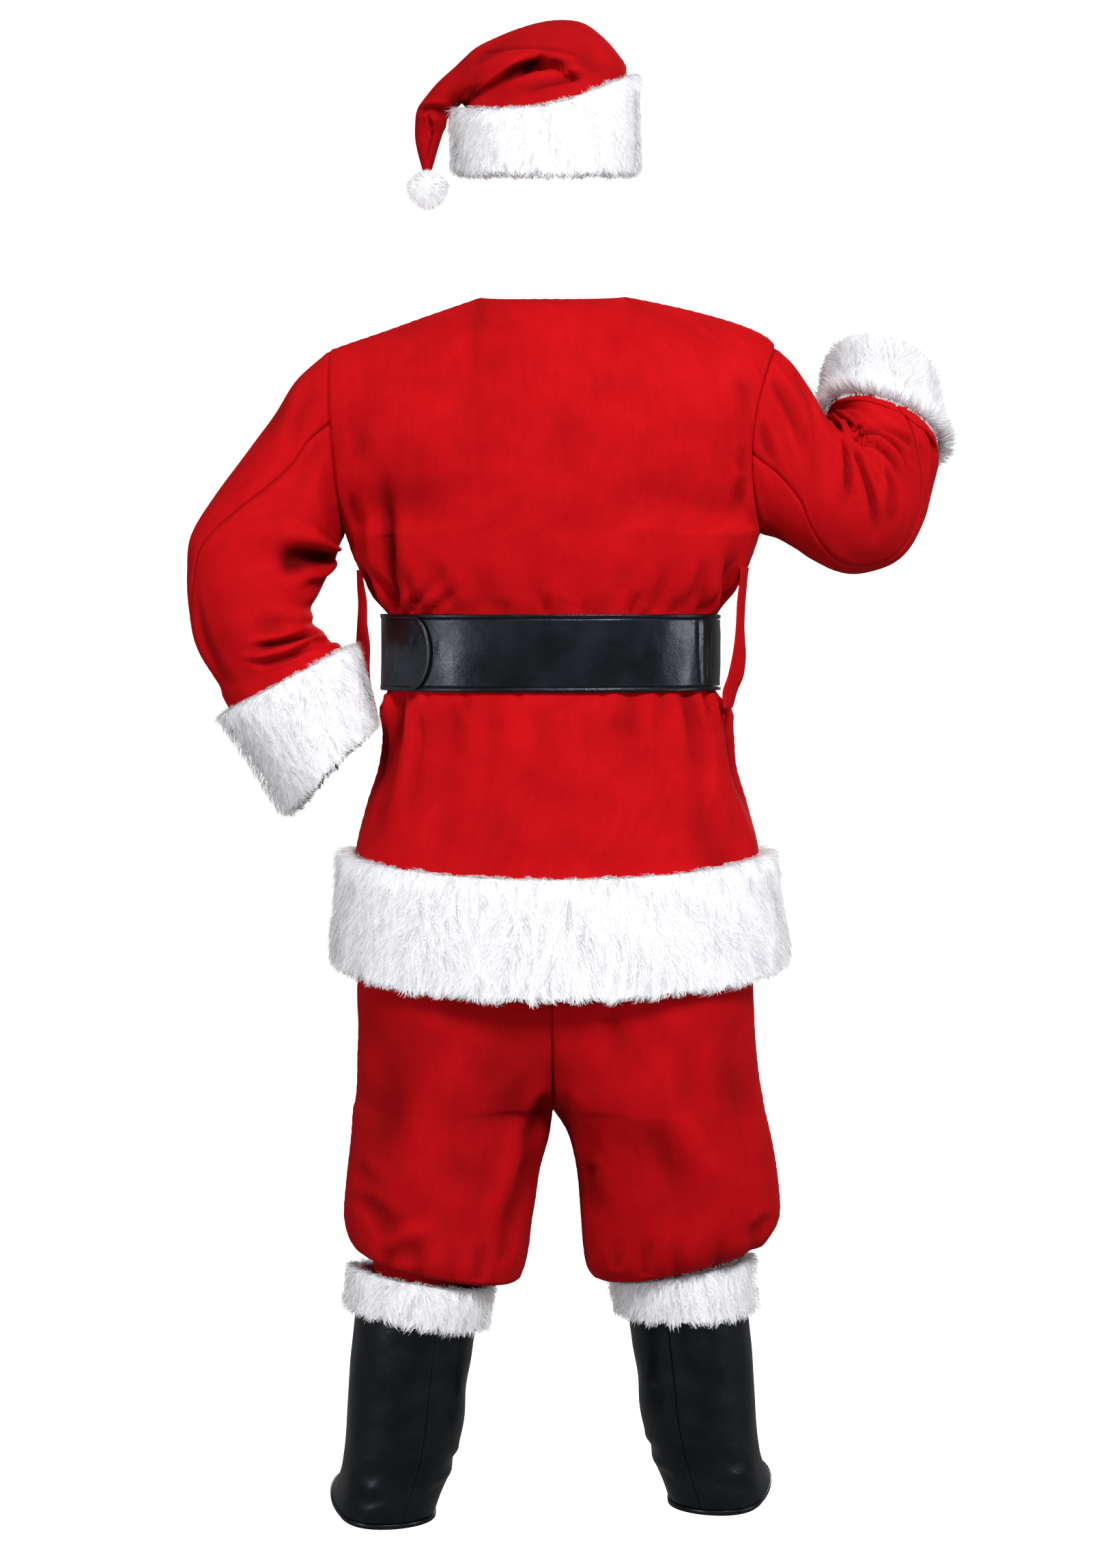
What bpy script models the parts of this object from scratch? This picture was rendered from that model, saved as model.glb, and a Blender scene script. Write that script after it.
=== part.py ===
"""Santa suit as it is worn: hat, jacket with fur trim, wide belt, bloused trousers and boot tops.

Frame: +Z up, the wearer faces +Y, +X is the wearer's right. The origin lies between the shoulders,
34 mm above the shoulder tips. All sizes in the tables are millimetres; meshes are made in metres.
Every cloth piece is a wall: a grid of outer points and the same grid moved in along shared normals,
so that neighbouring pieces are mitred along their seams.
"""

import math

import bmesh
import bpy
import numpy as np

MM = 0.001

# cloth and trim thicknesses
WALL = 2.0              # velvet cloth
HAT_WALL = 1.6
LEATHER = 2.0           # belt and boot tops
SEAM = 0.2              # each piece is drawn back this far from a seam
LAP = 0.9               # gap under a piece that lies on another
HEM_FUR = 19.0          # how far the long pile stands off its base
CUFF_FUR = 16.0
BOOT_FUR = 15.0
HAT_FUR = 15.0

# how finely the pieces are cut
BODY_COLUMNS = 24       # across the back, and across both fronts
YOKE_ROWS = 9           # underarm to shoulder tip; twice as many columns round a sleeve
SLEEVE_COLUMNS = 2 * YOKE_ROWS
LEG_COLUMNS = 7
BOOT_COLUMNS = 8
HAT_COLUMNS = 24


def table(names, rows):
    """Short table with named columns, each read as an array."""
    return dict(zip(names.split(), np.array(rows, float).T))


# jacket body, a level section in each row; gather is the depth of the waves drawn in by the belt
BODY = table("z left right back front gather sag", [
    (-800, -251, 270, -176, 180, 0, 26),
    (-740, -247, 263, -170, 175, 0, 24),
    (-690, -243, 256, -165, 171, 0, 22),
    (-640, -239, 249, -160, 167, 0, 19),
    (-590, -227, 238, -152, 161, 2, 12),
    (-540, -212, 224, -145, 157, 4, 5),
    (-500, -207, 221, -139, 155, 7, 0),
    (-468, -210, 216, -132, 152, 8, 0),
    (-452, -201, 200, -120, 145, 0, 0),
    (-402, -200, 199, -118, 143, 0, 0),
    (-355, -201, 200, -120, 145, 0, 0),
    (-336, -219, 217, -131, 154, 9, 0),
    (-312, -231, 232, -136, 158, 7, 0),
    (-286, -243, 243, -137, 157, 2, 0),
    (-259, -252, 252, -136, 154, 0, 0)])
BODY_SQUARE = 2.3       # exponent of the rounded section
BODY_ROWS = (-690, -640, -590, -540, -500, -468, -452, -402, -355, -336, -312, -286, -259)
GATHERS = 12            # waves across the back, and across the fronts
HEM_FUR_TOP = -648
HEM_FUR_DEPTH = 128

# armholes: underarm and shoulder tip in the plane of the seam, its half depth and inward bow
ARMHOLE = {
    "left": dict(under=(-252, -259), tip=(-271, -36), half=74, bow=-3),
    "right": dict(under=(252, -259), tip=(271, -33), half=74, bow=22)}

# yoke: middle of back and front, by height above the underarm
YOKE = table("w back front", [
    (0.00, -136, 154),
    (0.21, -141, 148),
    (0.58, -134, 134),
    (0.89, -114, 112),
    (1.13, -88, 88),
    (1.285, -66, 66)])
NECK_Z = 30             # shoulder seam at the neck
NECK_HALF = 0.33        # half width of the neckline, as a share of the shoulder's
NECK_COLUMN = 0.25      # and the column it falls on
NECK_DROP = {-1: 8, 1: 78}
SHOULDER_BOW = {"left": 1.0, "right": 0.55}     # the raised arm rounds its shoulder

# sleeves, a ring in each row: its point in line with the shoulder tip and with the underarm,
# the ring's depth place and half depth, how far its back side rises, the turn of its seams, and
# the depth of the crease on the inside of the elbow; the last row is the end of the cuff
SLEEVE = {
    "left": table("tip_x tip_z under_x under_z y half rise turn crease", [
        (-271, -36, -252, -259, 0, 74, 0, 0, 0),
        (-311, -72, -259, -272, -6, 77, 0, 2, 0),
        (-338, -116, -263, -287, -14, 75, 0, 6, 0),
        (-367, -157, -270, -306, -22, 72, 0, 13, 0),
        (-408, -212, -279, -324, -32, 70, 0, 25, 0),
        (-435, -262, -286, -340, -40, 69, 0, 40, 0),
        (-439, -306, -290, -351, -45, 68, 0, 50, 1),
        (-438, -348, -288, -360, -46, 68, 0, 57, 0),
        (-432, -382, -284, -368, -46, 67, 0, 62, 4),
        (-417, -417, -276, -377, -46, 66, 0, 62, 0),
        (-400, -443, -265, -388, -45, 66, 0, 60, 3),
        (-386, -473, -251, -400, -45, 66, 0, 58, 0),
        (-311, -587, -224, -490, -45, 63, 0, 55, 0)]),
    "right": table("tip_x tip_z under_x under_z y half rise turn crease", [
        (271, -33, 252, -259, 0, 74, 0, 0, 0),
        (291, -50, 274, -264, 4, 77, 0, -8, 0),
        (306, -71, 295, -276, 8, 77, 2, -20, 0),
        (318, -91, 316, -290, 13, 76, 4, -38, 0),
        (329, -104, 346, -303, 20, 75, 8, -56, 3),
        (337, -112, 379, -306, 28, 74, 14, -66, 9),
        (342, -116, 414, -295, 37, 72, 20, -68, -3),
        (345, -117, 441, -273, 46, 70, 25, -62, 10),
        (347, -115, 459, -239, 56, 68, 29, -50, -3),
        (348, -111, 469, -201, 68, 66, 31, -30, 9),
        (346, -107, 476, -171, 78, 64, 32, -12, -2),
        (344, -104, 478, -150, 88, 62, 32, 0, 0),
        (363, -39, 470, -61, 180, 54, 28, 8, 0)])}
SLEEVE_ROWS = 15
SLEEVE_END = 11.16      # row where the cloth stops, inside the cuff
CUFF_START = 11.0
CUFF_END = 12.0
BACK_SEAM = {"left": 5, "right": 4}     # column of the sleeve's back seam
FRONT_SEAM = 14                         # and of the seam on its hidden side

# trousers, a section of one leg in each row; above the crotch the inner edge is the middle seam
LEG_NAMES = "z outer inner back front seam_back seam_front y tilt"
LEG = {
    "left": table(LEG_NAMES, [
        (-396, -177, 0, -92, 116, -100, 121, 0, 0),
        (-470, -187, 0, -98, 122, -106, 128, 0, 0),
        (-600, -208, 0, -126, 134, -130, 136, 0, 0),
        (-740, -227, 0, -137, 138, -141, 140, 0, 0),
        (-800, -236, 0, -137, 136, -139, 136, 0, 0),
        (-870, -236, 0, -131, 130, -122, 118, 0, 0),
        (-915, -237, 0, -125, 124, -88, 84, 0, 0),
        (-943, -239, 0, -121, 121, -44, 40, 0, 0),
        (-956, -242, 0, -119, 119, 0, 0, 0, 0),
        (-990, -245, -5, -115, 116, 0, 0, -3, 0),
        (-1030, -249, -16, -112, 113, 0, 0, -6, 1),
        (-1080, -253, -24, -110, 110, 0, 0, -9, 4),
        (-1108, -251, -28, -109, 108, 0, 0, -12, 12),
        (-1130, -245, -35, -104, 104, 0, 0, -16, 18),
        (-1142, -235, -46, -93, 93, 0, 0, -20, 19),
        (-1138, -226, -80, -71, 72, 0, 0, -24, 15),
        (-1145, -217, -99, -60, 62, 0, 0, -25, 7),
        (-1168, -216, -101, -58, 60, 0, 0, -25, 0)]),
    "right": table(LEG_NAMES, [
        (-396, 177, 0, -92, 116, -100, 121, 0, 0),
        (-470, 187, 0, -98, 122, -106, 128, 0, 0),
        (-600, 210, 0, -126, 134, -130, 136, 0, 0),
        (-740, 231, 0, -137, 138, -141, 140, 0, 0),
        (-800, 243, 0, -137, 136, -139, 136, 0, 0),
        (-870, 246, 0, -131, 130, -122, 118, 0, 0),
        (-915, 251, 0, -125, 124, -88, 84, 0, 0),
        (-943, 256, 0, -121, 121, -44, 40, 0, 0),
        (-956, 258, 0, -119, 119, 0, 0, 0, 0),
        (-990, 266, 19, -115, 116, 0, 0, 5, 0),
        (-1030, 273, 29, -113, 114, 0, 0, 12, 3),
        (-1082, 278, 34, -112, 112, 0, 0, 19, 9),
        (-1112, 277, 37, -111, 110, 0, 0, 25, 16),
        (-1134, 269, 43, -106, 106, 0, 0, 30, 21),
        (-1147, 254, 58, -94, 94, 0, 0, 33, 22),
        (-1142, 234, 84, -71, 72, 0, 0, 35, 17),
        (-1148, 217, 100, -60, 62, 0, 0, 35, 8),
        (-1170, 216, 102, -58, 60, 0, 0, 35, 0)])}
WAISTBAND = 34

# boot tops, a ring in each row: half width, reach to heel and toe, and the rise of the hem over
# the instep; the feet are turned out
BOOT = table("z centre width heel toe rise", [
    (-1160, 159, 73, 71, 75, 0),
    (-1214, 166, 74, 71, 75, 0),
    (-1290, 174, 72, 69, 75, 0),
    (-1345, 179, 70, 65, 77, 0),
    (-1395, 188, 64, 58, 86, 8),
    (-1425, 196, 60, 54, 104, 18),
    (-1442, 200, 59, 52, 116, 26)])
BOOT_LEG = {"left": dict(side=-1, y=-25), "right": dict(side=1, y=35)}
TOE_OUT = math.radians(23)
# its fur: height of the top, depth, and how much higher the outer side is at the top and the foot
BOOT_FUR_BAND = {"left": (-1157, 46, 13, 14), "right": (-1159, 48, 15, 2)}
BINDING = 5.5           # folded tape round the edges of leatherette

# belt: closed ring round the jacket at the waist, wound once and then on over itself to a round end
BELT_RING = dict(left=202.8, right=201.8, back=122.0, front=147.0)
BELT_Z = -402
BELT_HEIGHT = 92
BELT_START = 0.012      # turns from the middle of the front, towards the wearer's left
BELT_END = 1.382
BELT_ROUND = 0.030      # length of the rounded end, in turns
BELT_LIFT = 4.2         # how far the second layer stands off the first
EYELETS = (1.296, 1.007)
EYELET_RADIUS = 3.0

# belt carriers: loops of folded cloth standing off both sides; width direction turns towards the back
LOOP_NAMES = "x z y turn"
LOOP = {
    "left": table(LOOP_NAMES, [
        (-233.9, -303, -30, 14), (-231.6, -321, -30, 18), (-229.5, -342, -28, 24), (-230.5, -368, -22, 30),
        (-229.8, -395, -14, 42), (-231.0, -424, -5, 44), (-228.5, -447, 3, 40), (-222.5, -463, 8, 28),
        (-216.4, -477, 10, 10), (-213.9, -491, 10, 2)]),
    "right": table(LOOP_NAMES, [
        (231.0, -300, -45, 26), (229.2, -318, -46, 22), (226.5, -341, -46, 22), (225.6, -368, -46, 24),
        (225.2, -390, -46, 32), (223.6, -409, -46, 40), (219.8, -431, -46, 48), (214.0, -447, -46, 46),
        (211.6, -459, -45, 36), (210.2, -469, -45, 26)])}
LOOP_WIDTH = 26
LOOP_THICK = 3.0

# hat crown: rings that fan round the crease above its left side and then hang down to the tip
HAT = table("outer_x outer_z inner_x inner_z half lean sag turn", [
    (86, 282, -103, 236, 108, 15, 22, -30),
    (90, 307, -106, 254, 110, 16, 24, -30),
    (80, 324, -110, 262, 106, 14, 16, -34),
    (60, 346, -113, 266, 98, 11, 8, -38),
    (36, 362, -114, 268, 89, 8, 2, -42),
    (4, 365, -115, 268, 80, 5, 0, -44),
    (-33, 357, -116, 266, 70, 3, 0, -44),
    (-66, 343, -118, 262, 60, 0, 0, -42),
    (-97, 327, -121, 258, 50, 0, 0, -38),
    (-130, 297, -123, 254, 41, 0, 0, -26),
    (-151, 276, -125, 250, 34, 0, 0, -12),
    (-165, 255, -127, 244, 27, 0, 0, -2),
    (-167, 228, -133, 228, 18, 0, 0, 0),
    (-164, 205, -140, 206, 12, 0, 0, 0),
    (-158, 182, -147, 182, 5, 0, 0, 0)])
HAT_ROWS = 16
HAT_Y = 0
# the flap that falls over the crown: its edge, and the line where the tucked cloth comes out again
FLAP = table("x edge foot", [
    (-118, 253, 253),
    (-106, 259, 251),
    (-64, 289, 249),
    (-14, 311, 256),
    (12, 298, 265),
    (38, 281, 276)])
FLAP_DEPTH = 34
HAT_BAND = dict(centre=-8.5, half_x=99.0, half_y=111.5)
HAT_BAND_TOP = table("x z", [(-120, 254), (-50, 255), (0, 260), (50, 279), (100, 300)])
HAT_BAND_FOOT = 182
HAT_TILT = 0.14         # the band sits lower at the back of the head

POMPOM = (-152, 0, 163)
POMPOM_CORE = 15.0
POMPOM_REACH = 28.0

COLOURS = {
    "velvet": ((0.50, 0.008, 0.012), 0.85, 0.0),
    "fur": ((0.90, 0.90, 0.90), 0.95, 0.0),
    "leatherette": ((0.012, 0.014, 0.018), 0.35, 0.0),
    "brass": ((0.72, 0.52, 0.22), 0.30, 1.0)}


# ---------------------------------------------------------------- curves and surfaces

def smooth(x, xs, ys):
    """Cubic curve through (xs, ys), which may run either way, and straight on past its ends."""
    if xs[0] > xs[-1]:
        xs, ys = xs[::-1], ys[::-1]
    slope = np.gradient(ys, xs)
    inside = np.clip(x, xs[0], xs[-1])
    i = np.clip(np.searchsorted(xs, inside) - 1, 0, len(xs) - 2)
    step = xs[i + 1] - xs[i]
    t = (inside - xs[i]) / step
    rise = ys[i + 1] - ys[i]
    start, end = slope[i] * step, slope[i + 1] * step
    curve = ys[i] + start * t + (3 * rise - 2 * start - end) * t**2 + (start + end - 2 * rise) * t**3
    return curve + (x - inside) * np.where(x < inside, slope[0], slope[-1])


def by_row(rows, k):
    """Every column of a table at the row number k, which may lie between two rows."""
    numbers = np.arange(len(next(iter(rows.values()))), dtype=float)
    return {name: smooth(k, numbers, values) for name, values in rows.items()}


def ease(x):
    """Soft step from 0 to 1."""
    x = np.clip(x, 0, 1)
    return x * x * (3 - 2 * x)


def stack(x, y, z):
    """Points from three coordinate arrays that may need broadcasting."""
    return np.stack(np.broadcast_arrays(x, y, z), axis=-1).astype(float)


def body(side, u, z):
    """Jacket below the arms: u from the left seam (-1) to the right one (1), side -1 back, 1 front."""
    row = {name: smooth(z, BODY["z"], values) for name, values in BODY.items()}
    s = np.sin(math.pi / 2 * u)
    depth = -row["back"] if side < 0 else row["front"]
    wave = 1 - row["gather"] / 200 * (1 - np.cos(GATHERS * math.pi * u)) / 2
    curve = np.clip(1 - np.abs(s) ** BODY_SQUARE, 0, 1) ** (1 / BODY_SQUARE)
    x = np.where(s < 0, -s * row["left"], s * row["right"]) * wave
    return stack(x, side * depth * curve * wave, z - row["sag"] * curve**2)


def armhole(arm, t, side):
    """Seam of the armhole from underarm (0) to shoulder tip (1), behind or in front."""
    hole = ARMHOLE[arm]
    share = (1 - np.cos(math.pi * t)) / 2
    swell = np.sin(math.pi * t)
    inward = -np.sign(hole["tip"][0]) * hole["bow"] * swell**2
    x = hole["under"][0] + (hole["tip"][0] - hole["under"][0]) * share + inward
    z = hole["under"][1] + (hole["tip"][1] - hole["under"][1]) * share
    return x, side * hole["half"] * swell, z


def yoke(side, u, t):
    """Jacket above the arms: t from the underarm (0) to the shoulder seam and neckline (1)."""
    low = np.sin(math.pi / 2 * u)
    high = np.sign(u) * np.interp(np.abs(u), [0, NECK_COLUMN, 1], [0, NECK_HALF, 1])
    s = low + (high - low) * t**2
    left_x, edge_y, left_z = armhole("left", t, side)
    right_x, _, right_z = armhole("right", t, side)
    collar = np.sqrt(np.clip(1 - (s / NECK_HALF) ** 2, 0, 1))
    slope = np.clip((1 - np.abs(s)) / (1 - NECK_HALF), 0, 1)
    slope = slope ** np.where(s < 0, SHOULDER_BOW["left"], SHOULDER_BOW["right"])
    tip = (ARMHOLE["left"]["tip"][1] + ARMHOLE["right"]["tip"][1]) / 2
    rise = (NECK_Z - tip) * slope - NECK_DROP[side] * collar * ease((t - 0.5) * 2)
    round_body = np.clip(1 - np.abs(s) ** BODY_SQUARE, 0, 1) ** (1 / BODY_SQUARE)
    flat_back = 1 - np.abs(s) ** 2.6
    start, top = ease(1 - t / 0.35), ease((t - 0.45) / 0.55)
    share = start * round_body + (1 - start) * ((1 - top) * flat_back + top * collar)
    height = np.where(t < 0.5, np.sin(math.pi / 2 * t) ** 2, 0.5 + (t - 0.5) * math.pi / 2)
    middle = smooth(height, YOKE["w"], YOKE["back" if side < 0 else "front"])
    edge_share = (1 - share) ** (1 + 3 * start)
    x = (left_x * (1 - s) + right_x * (1 + s)) / 2
    z = (left_z * (1 - s) + right_z * (1 + s)) / 2 + rise * t**1.6
    return stack(x, edge_y * edge_share + middle * share, z)


def jacket_ring(q, z):
    """Body at height z, once round: 0 middle of the front, 1/4 left seam, 1/2 back, 3/4 right."""
    q = np.mod(q, 1)
    front = body(1, np.where(q < 0.5, -4 * q, 4 * (1 - q)), z)
    back = body(-1, np.clip(4 * q - 2, -1, 1), z)
    return np.where(((q > 0.25) & (q < 0.75))[..., None], back, front)


def sleeve(arm, a, k):
    """Sleeve ring k at angle a: 0 under the arm, a quarter turn on its back, half a turn on top."""
    row = by_row(SLEEVE[arm], k)
    inner = 0 if arm == "left" else math.pi
    angle = a + np.radians(row["turn"])
    fold = 1 - row["crease"] / 75 * np.clip(np.cos(angle - inner), 0, 1) ** 2
    bow = -np.sign(SLEEVE[arm]["tip_x"][0]) * ARMHOLE[arm]["bow"] * np.clip(1 - k / 2, 0, 1)
    along, across = np.cos(angle) * fold, np.sin(angle) * fold
    x = (row["tip_x"] + row["under_x"]) / 2 - (row["tip_x"] - row["under_x"]) / 2 * along
    z = (row["tip_z"] + row["under_z"]) / 2 - (row["tip_z"] - row["under_z"]) / 2 * along
    return stack(x + bow * across**2, row["y"] - row["half"] * across, z + row["rise"] * across)


def leg(side, face, m, k):
    """Trouser leg, row k: m from the side seam (0) to the inner seam (1), face -1 back, 1 front."""
    row = by_row(LEG[side], k)
    depth = row["back"] if face < 0 else row["front"]
    seam = row["seam_back"] if face < 0 else row["seam_front"]
    a = math.pi * m
    x = (row["outer"] + row["inner"]) / 2 + (row["outer"] - row["inner"]) / 2 * np.cos(a)
    y = np.where(m < 0.5, depth * np.sin(a), seam + (depth - seam) * np.sin(a))
    return stack(x, y + row["y"], row["z"] + row["tilt"] * np.cos(a))


def boot(side, a, z, lift=0.0):
    """Boot top at height z: a is 0 at the toe, a quarter turn outside, half a turn at the heel."""
    row = {name: smooth(z, BOOT["z"], values) for name, values in BOOT.items()}
    foot = BOOT_LEG[side]
    out = foot["side"]
    reach = np.where(np.cos(a) > 0, row["toe"] * np.cos(a), row["heel"] * np.cos(a))
    wide = row["width"] * np.sin(a)
    x = out * (row["centre"] + wide * math.cos(TOE_OUT) + reach * math.sin(TOE_OUT))
    y = foot["y"] + reach * math.cos(TOE_OUT) - wide * math.sin(TOE_OUT)
    rise = row["rise"] * ((1 + np.cos(a)) / 2) ** 2 + lift * np.sin(a)
    return stack(x, y, z + rise)


def belt(q, h):
    """Middle of the belt's leather after q turns, at height h above the belt's centre line."""
    turn = 2 * math.pi * q
    side, face = -np.sin(turn), np.cos(turn)
    lift = BELT_LIFT * ease((q - 0.955) / 0.035) + LEATHER / 2
    half = np.where(side < 0, BELT_RING["left"], BELT_RING["right"]) + lift
    depth = np.where(face < 0, BELT_RING["back"], BELT_RING["front"]) + lift
    power = 2 / BODY_SQUARE
    x = np.sign(side) * np.abs(side) ** power * half
    return stack(x, np.sign(face) * np.abs(face) ** power * depth, BELT_Z + h)


def crown(a, k):
    """Hat ring k at angle a: 0 at the crease, a quarter turn behind, half a turn on the outside."""
    row = by_row(HAT, k)
    angle = a + np.radians(row["turn"])
    near = np.sin(angle)
    x = (row["outer_x"] + row["inner_x"]) / 2 - (row["outer_x"] - row["inner_x"]) / 2 * np.cos(angle)
    z = (row["outer_z"] + row["inner_z"]) / 2 - (row["outer_z"] - row["inner_z"]) / 2 * np.cos(angle)
    z = z - row["lean"] * near - row["sag"] * near**2
    edge, foot = (np.interp(x, FLAP["x"], FLAP[name]) for name in ("edge", "foot"))
    height = np.maximum(edge - foot, 1)
    share = np.clip((z - foot) / height, 0, 1)
    tuck = FLAP_DEPTH * share * ease((1 - share) / 0.25) * ease(height / 40) * (near > 0)
    return stack(x, HAT_Y - row["half"] * near + tuck, z)


# ---------------------------------------------------------------- solids

def solid(name, points, faces, finish):
    """Object from points in millimetres and faces, all turned outwards."""
    mesh = bpy.data.meshes.new(name)
    mesh.from_pydata((np.asarray(points) * MM).tolist(), [], faces)
    shape = bmesh.new()
    shape.from_mesh(mesh)
    bmesh.ops.recalc_face_normals(shape, faces=shape.faces)
    shape.to_mesh(mesh)
    shape.free()
    mesh.shade_smooth()
    mesh.set_sharp_from_angle(angle=math.radians(50))
    return show(name, mesh, finish)


def show(name, mesh, finish):
    """Link a mesh into the suit's collection with its own copy of a finish."""
    mesh.materials.clear()
    mesh.materials.append(material(name, finish))
    piece = bpy.data.objects.new(name, mesh)
    SUIT.objects.link(piece)
    return piece


def material(name, finish):
    """Principled material for one piece."""
    colour, roughness, metallic = COLOURS[finish]
    made = bpy.data.materials.new(f"{name}_{finish}")
    made.use_nodes = True
    shader = made.node_tree.nodes["Principled BSDF"]
    shader.inputs["Base Color"].default_value = (*colour, 1)
    shader.inputs["Roughness"].default_value = roughness
    shader.inputs["Metallic"].default_value = metallic
    return made


def split(a, b, c, d, points):
    """Two triangles of the four-sided face a b c d, cut along its shorter diagonal."""
    if np.linalg.norm(points[a] - points[c]) <= np.linalg.norm(points[b] - points[d]):
        return [(a, b, c), (a, c, d)]
    return [(a, b, d), (b, c, d)]


def inward(grids, thickness):
    """Vectors from outer to inner points of cloth grids, shared wherever grids share a point."""
    flat = np.concatenate([grid.reshape(-1, 3) for grid in grids])
    _, same = np.unique(np.round(flat, 2), axis=0, return_inverse=True)
    same = same.reshape(-1)
    total = np.zeros((same.max() + 1, 3))
    pieces, first = [], 0
    for grid in grids:
        rows, columns = grid.shape[:2]
        number = same[first:first + rows * columns].reshape(rows, columns)
        first += rows * columns
        across = grid[1:, 1:] - grid[:-1, :-1]
        other = grid[1:, :-1] - grid[:-1, 1:]
        face = np.cross(across, other)
        middle = grid.mean(axis=1, keepdims=True)
        outwards = np.sign(np.sum(face * (grid - middle)[:-1, :-1]))
        face *= outwards
        for i, j in ((0, 0), (0, 1), (1, 0), (1, 1)):
            np.add.at(total, number[i:rows - 1 + i, j:columns - 1 + j], face)
        pieces.append((number, face))
    unit = total / np.maximum(np.linalg.norm(total, axis=1, keepdims=True), 1e-9)
    lean, count = np.zeros(len(total)), np.zeros(len(total))
    for number, face in pieces:
        rows, columns = number.shape
        face = face / np.maximum(np.linalg.norm(face, axis=2, keepdims=True), 1e-9)
        for i, j in ((0, 0), (0, 1), (1, 0), (1, 1)):
            corner = number[i:rows - 1 + i, j:columns - 1 + j]
            np.add.at(lean, corner, np.sum(unit[corner] * face, axis=2))
            np.add.at(count, corner, 1)
    even = 1 / np.clip(lean / np.maximum(count, 1), 0.6, 1)
    vectors = -unit * (thickness * even)[:, None]
    return [vectors[number] for number, _ in pieces]


def draw_back(grid, seams):
    """Grid with its first or last row or column drawn back from a seam."""
    grid = grid.copy()
    lines = {
        "first row": (grid[0], grid[1]), "last row": (grid[-1], grid[-2]),
        "first column": (grid[:, 0], grid[:, 1]), "last column": (grid[:, -1], grid[:, -2])}
    moves = []
    for seam in seams:
        line, beside = lines[seam]
        step = beside - line
        moves.append((line, SEAM * step / np.maximum(np.linalg.norm(step, axis=-1, keepdims=True), 1e-9)))
    for line, move in moves:
        line += move
    return grid


def wall(name, grid, vectors, finish, seams=()):
    """Cloth piece: outer grid, inner grid, and the raw edge all round."""
    outer = draw_back(grid, seams)
    points = np.concatenate([outer.reshape(-1, 3), (outer + vectors).reshape(-1, 3)])
    rows, columns = grid.shape[:2]
    number = np.arange(2 * rows * columns).reshape(2, rows, columns)
    faces = []
    for i in range(rows - 1):
        for j in range(columns - 1):
            corners = [number[0, i, j], number[0, i, j + 1], number[0, i + 1, j + 1], number[0, i + 1, j]]
            cut = split(*corners, points)
            faces += cut
            faces += [tuple(rows * columns + corner for corner in face[::-1]) for face in cut]
    edge = ([(0, j) for j in range(columns)] + [(i, columns - 1) for i in range(1, rows)]
            + [(rows - 1, j) for j in range(columns - 2, -1, -1)] + [(i, 0) for i in range(rows - 2, 0, -1)])
    for this, following in zip(edge, edge[1:] + edge[:1]):
        faces += split(number[0][following], number[0][this], number[1][this], number[1][following], points)
    return solid(name, points, faces, finish)


def tube(name, grid, finish, closed=True):
    """Solid ring or bar: rows are whole sections; the last section joins the first, or both are capped."""
    rows, columns = grid.shape[:2]
    points = grid.reshape(-1, 3)
    number = np.arange(rows * columns).reshape(rows, columns)
    faces = []
    for i in range(rows if closed else rows - 1):
        here, there = number[i], number[(i + 1) % rows]
        for j in range(columns):
            k = (j + 1) % columns
            faces += split(here[j], here[k], there[k], there[j], points)
    if not closed:
        faces += [tuple(number[0][::-1]), tuple(number[-1])]
    return solid(name, points, faces, finish)


def outward(surface, a, v, step=1e-3):
    """Unit normals of a ring surface, turned away from the middle of each ring."""
    across = surface(a + step, v) - surface(a - step, v)
    along = surface(a, v + step) - surface(a, v - step)
    normal = np.cross(across, along)
    normal /= np.linalg.norm(normal, axis=-1, keepdims=True)
    points = surface(a, v)
    facing = np.sum(normal * (points - points.mean(axis=0, keepdims=True)))
    return points, normal * np.sign(facing)


FUR_SECTION = table("along out", [
    (0.02, 0.0), (0.50, 0.0), (0.985, 0.0),
    (1.035, 0.42), (0.97, 0.86), (0.60, 1.0), (0.22, 0.97), (-0.02, 0.55)])


def fur_band(name, surface, columns, pile, first=LAP):
    """Ring of fur on a surface(a, v): a in turns round it, v from its top (0) to its foot (1)."""
    a = (np.arange(columns) / columns)[:, None]
    v = FUR_SECTION["along"][None, :]
    base, normal = outward(surface, a, v)
    tuft = 1 + 0.07 * np.sin(2 * math.pi * 5 * a + 2.1 * v) + 0.05 * np.sin(2 * math.pi * 11 * a - 5 * v)
    out = FUR_SECTION["out"][None, :] * pile * tuft
    return tube(name, base + normal * (first + out)[..., None], "fur")


# ---------------------------------------------------------------- pieces

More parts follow.
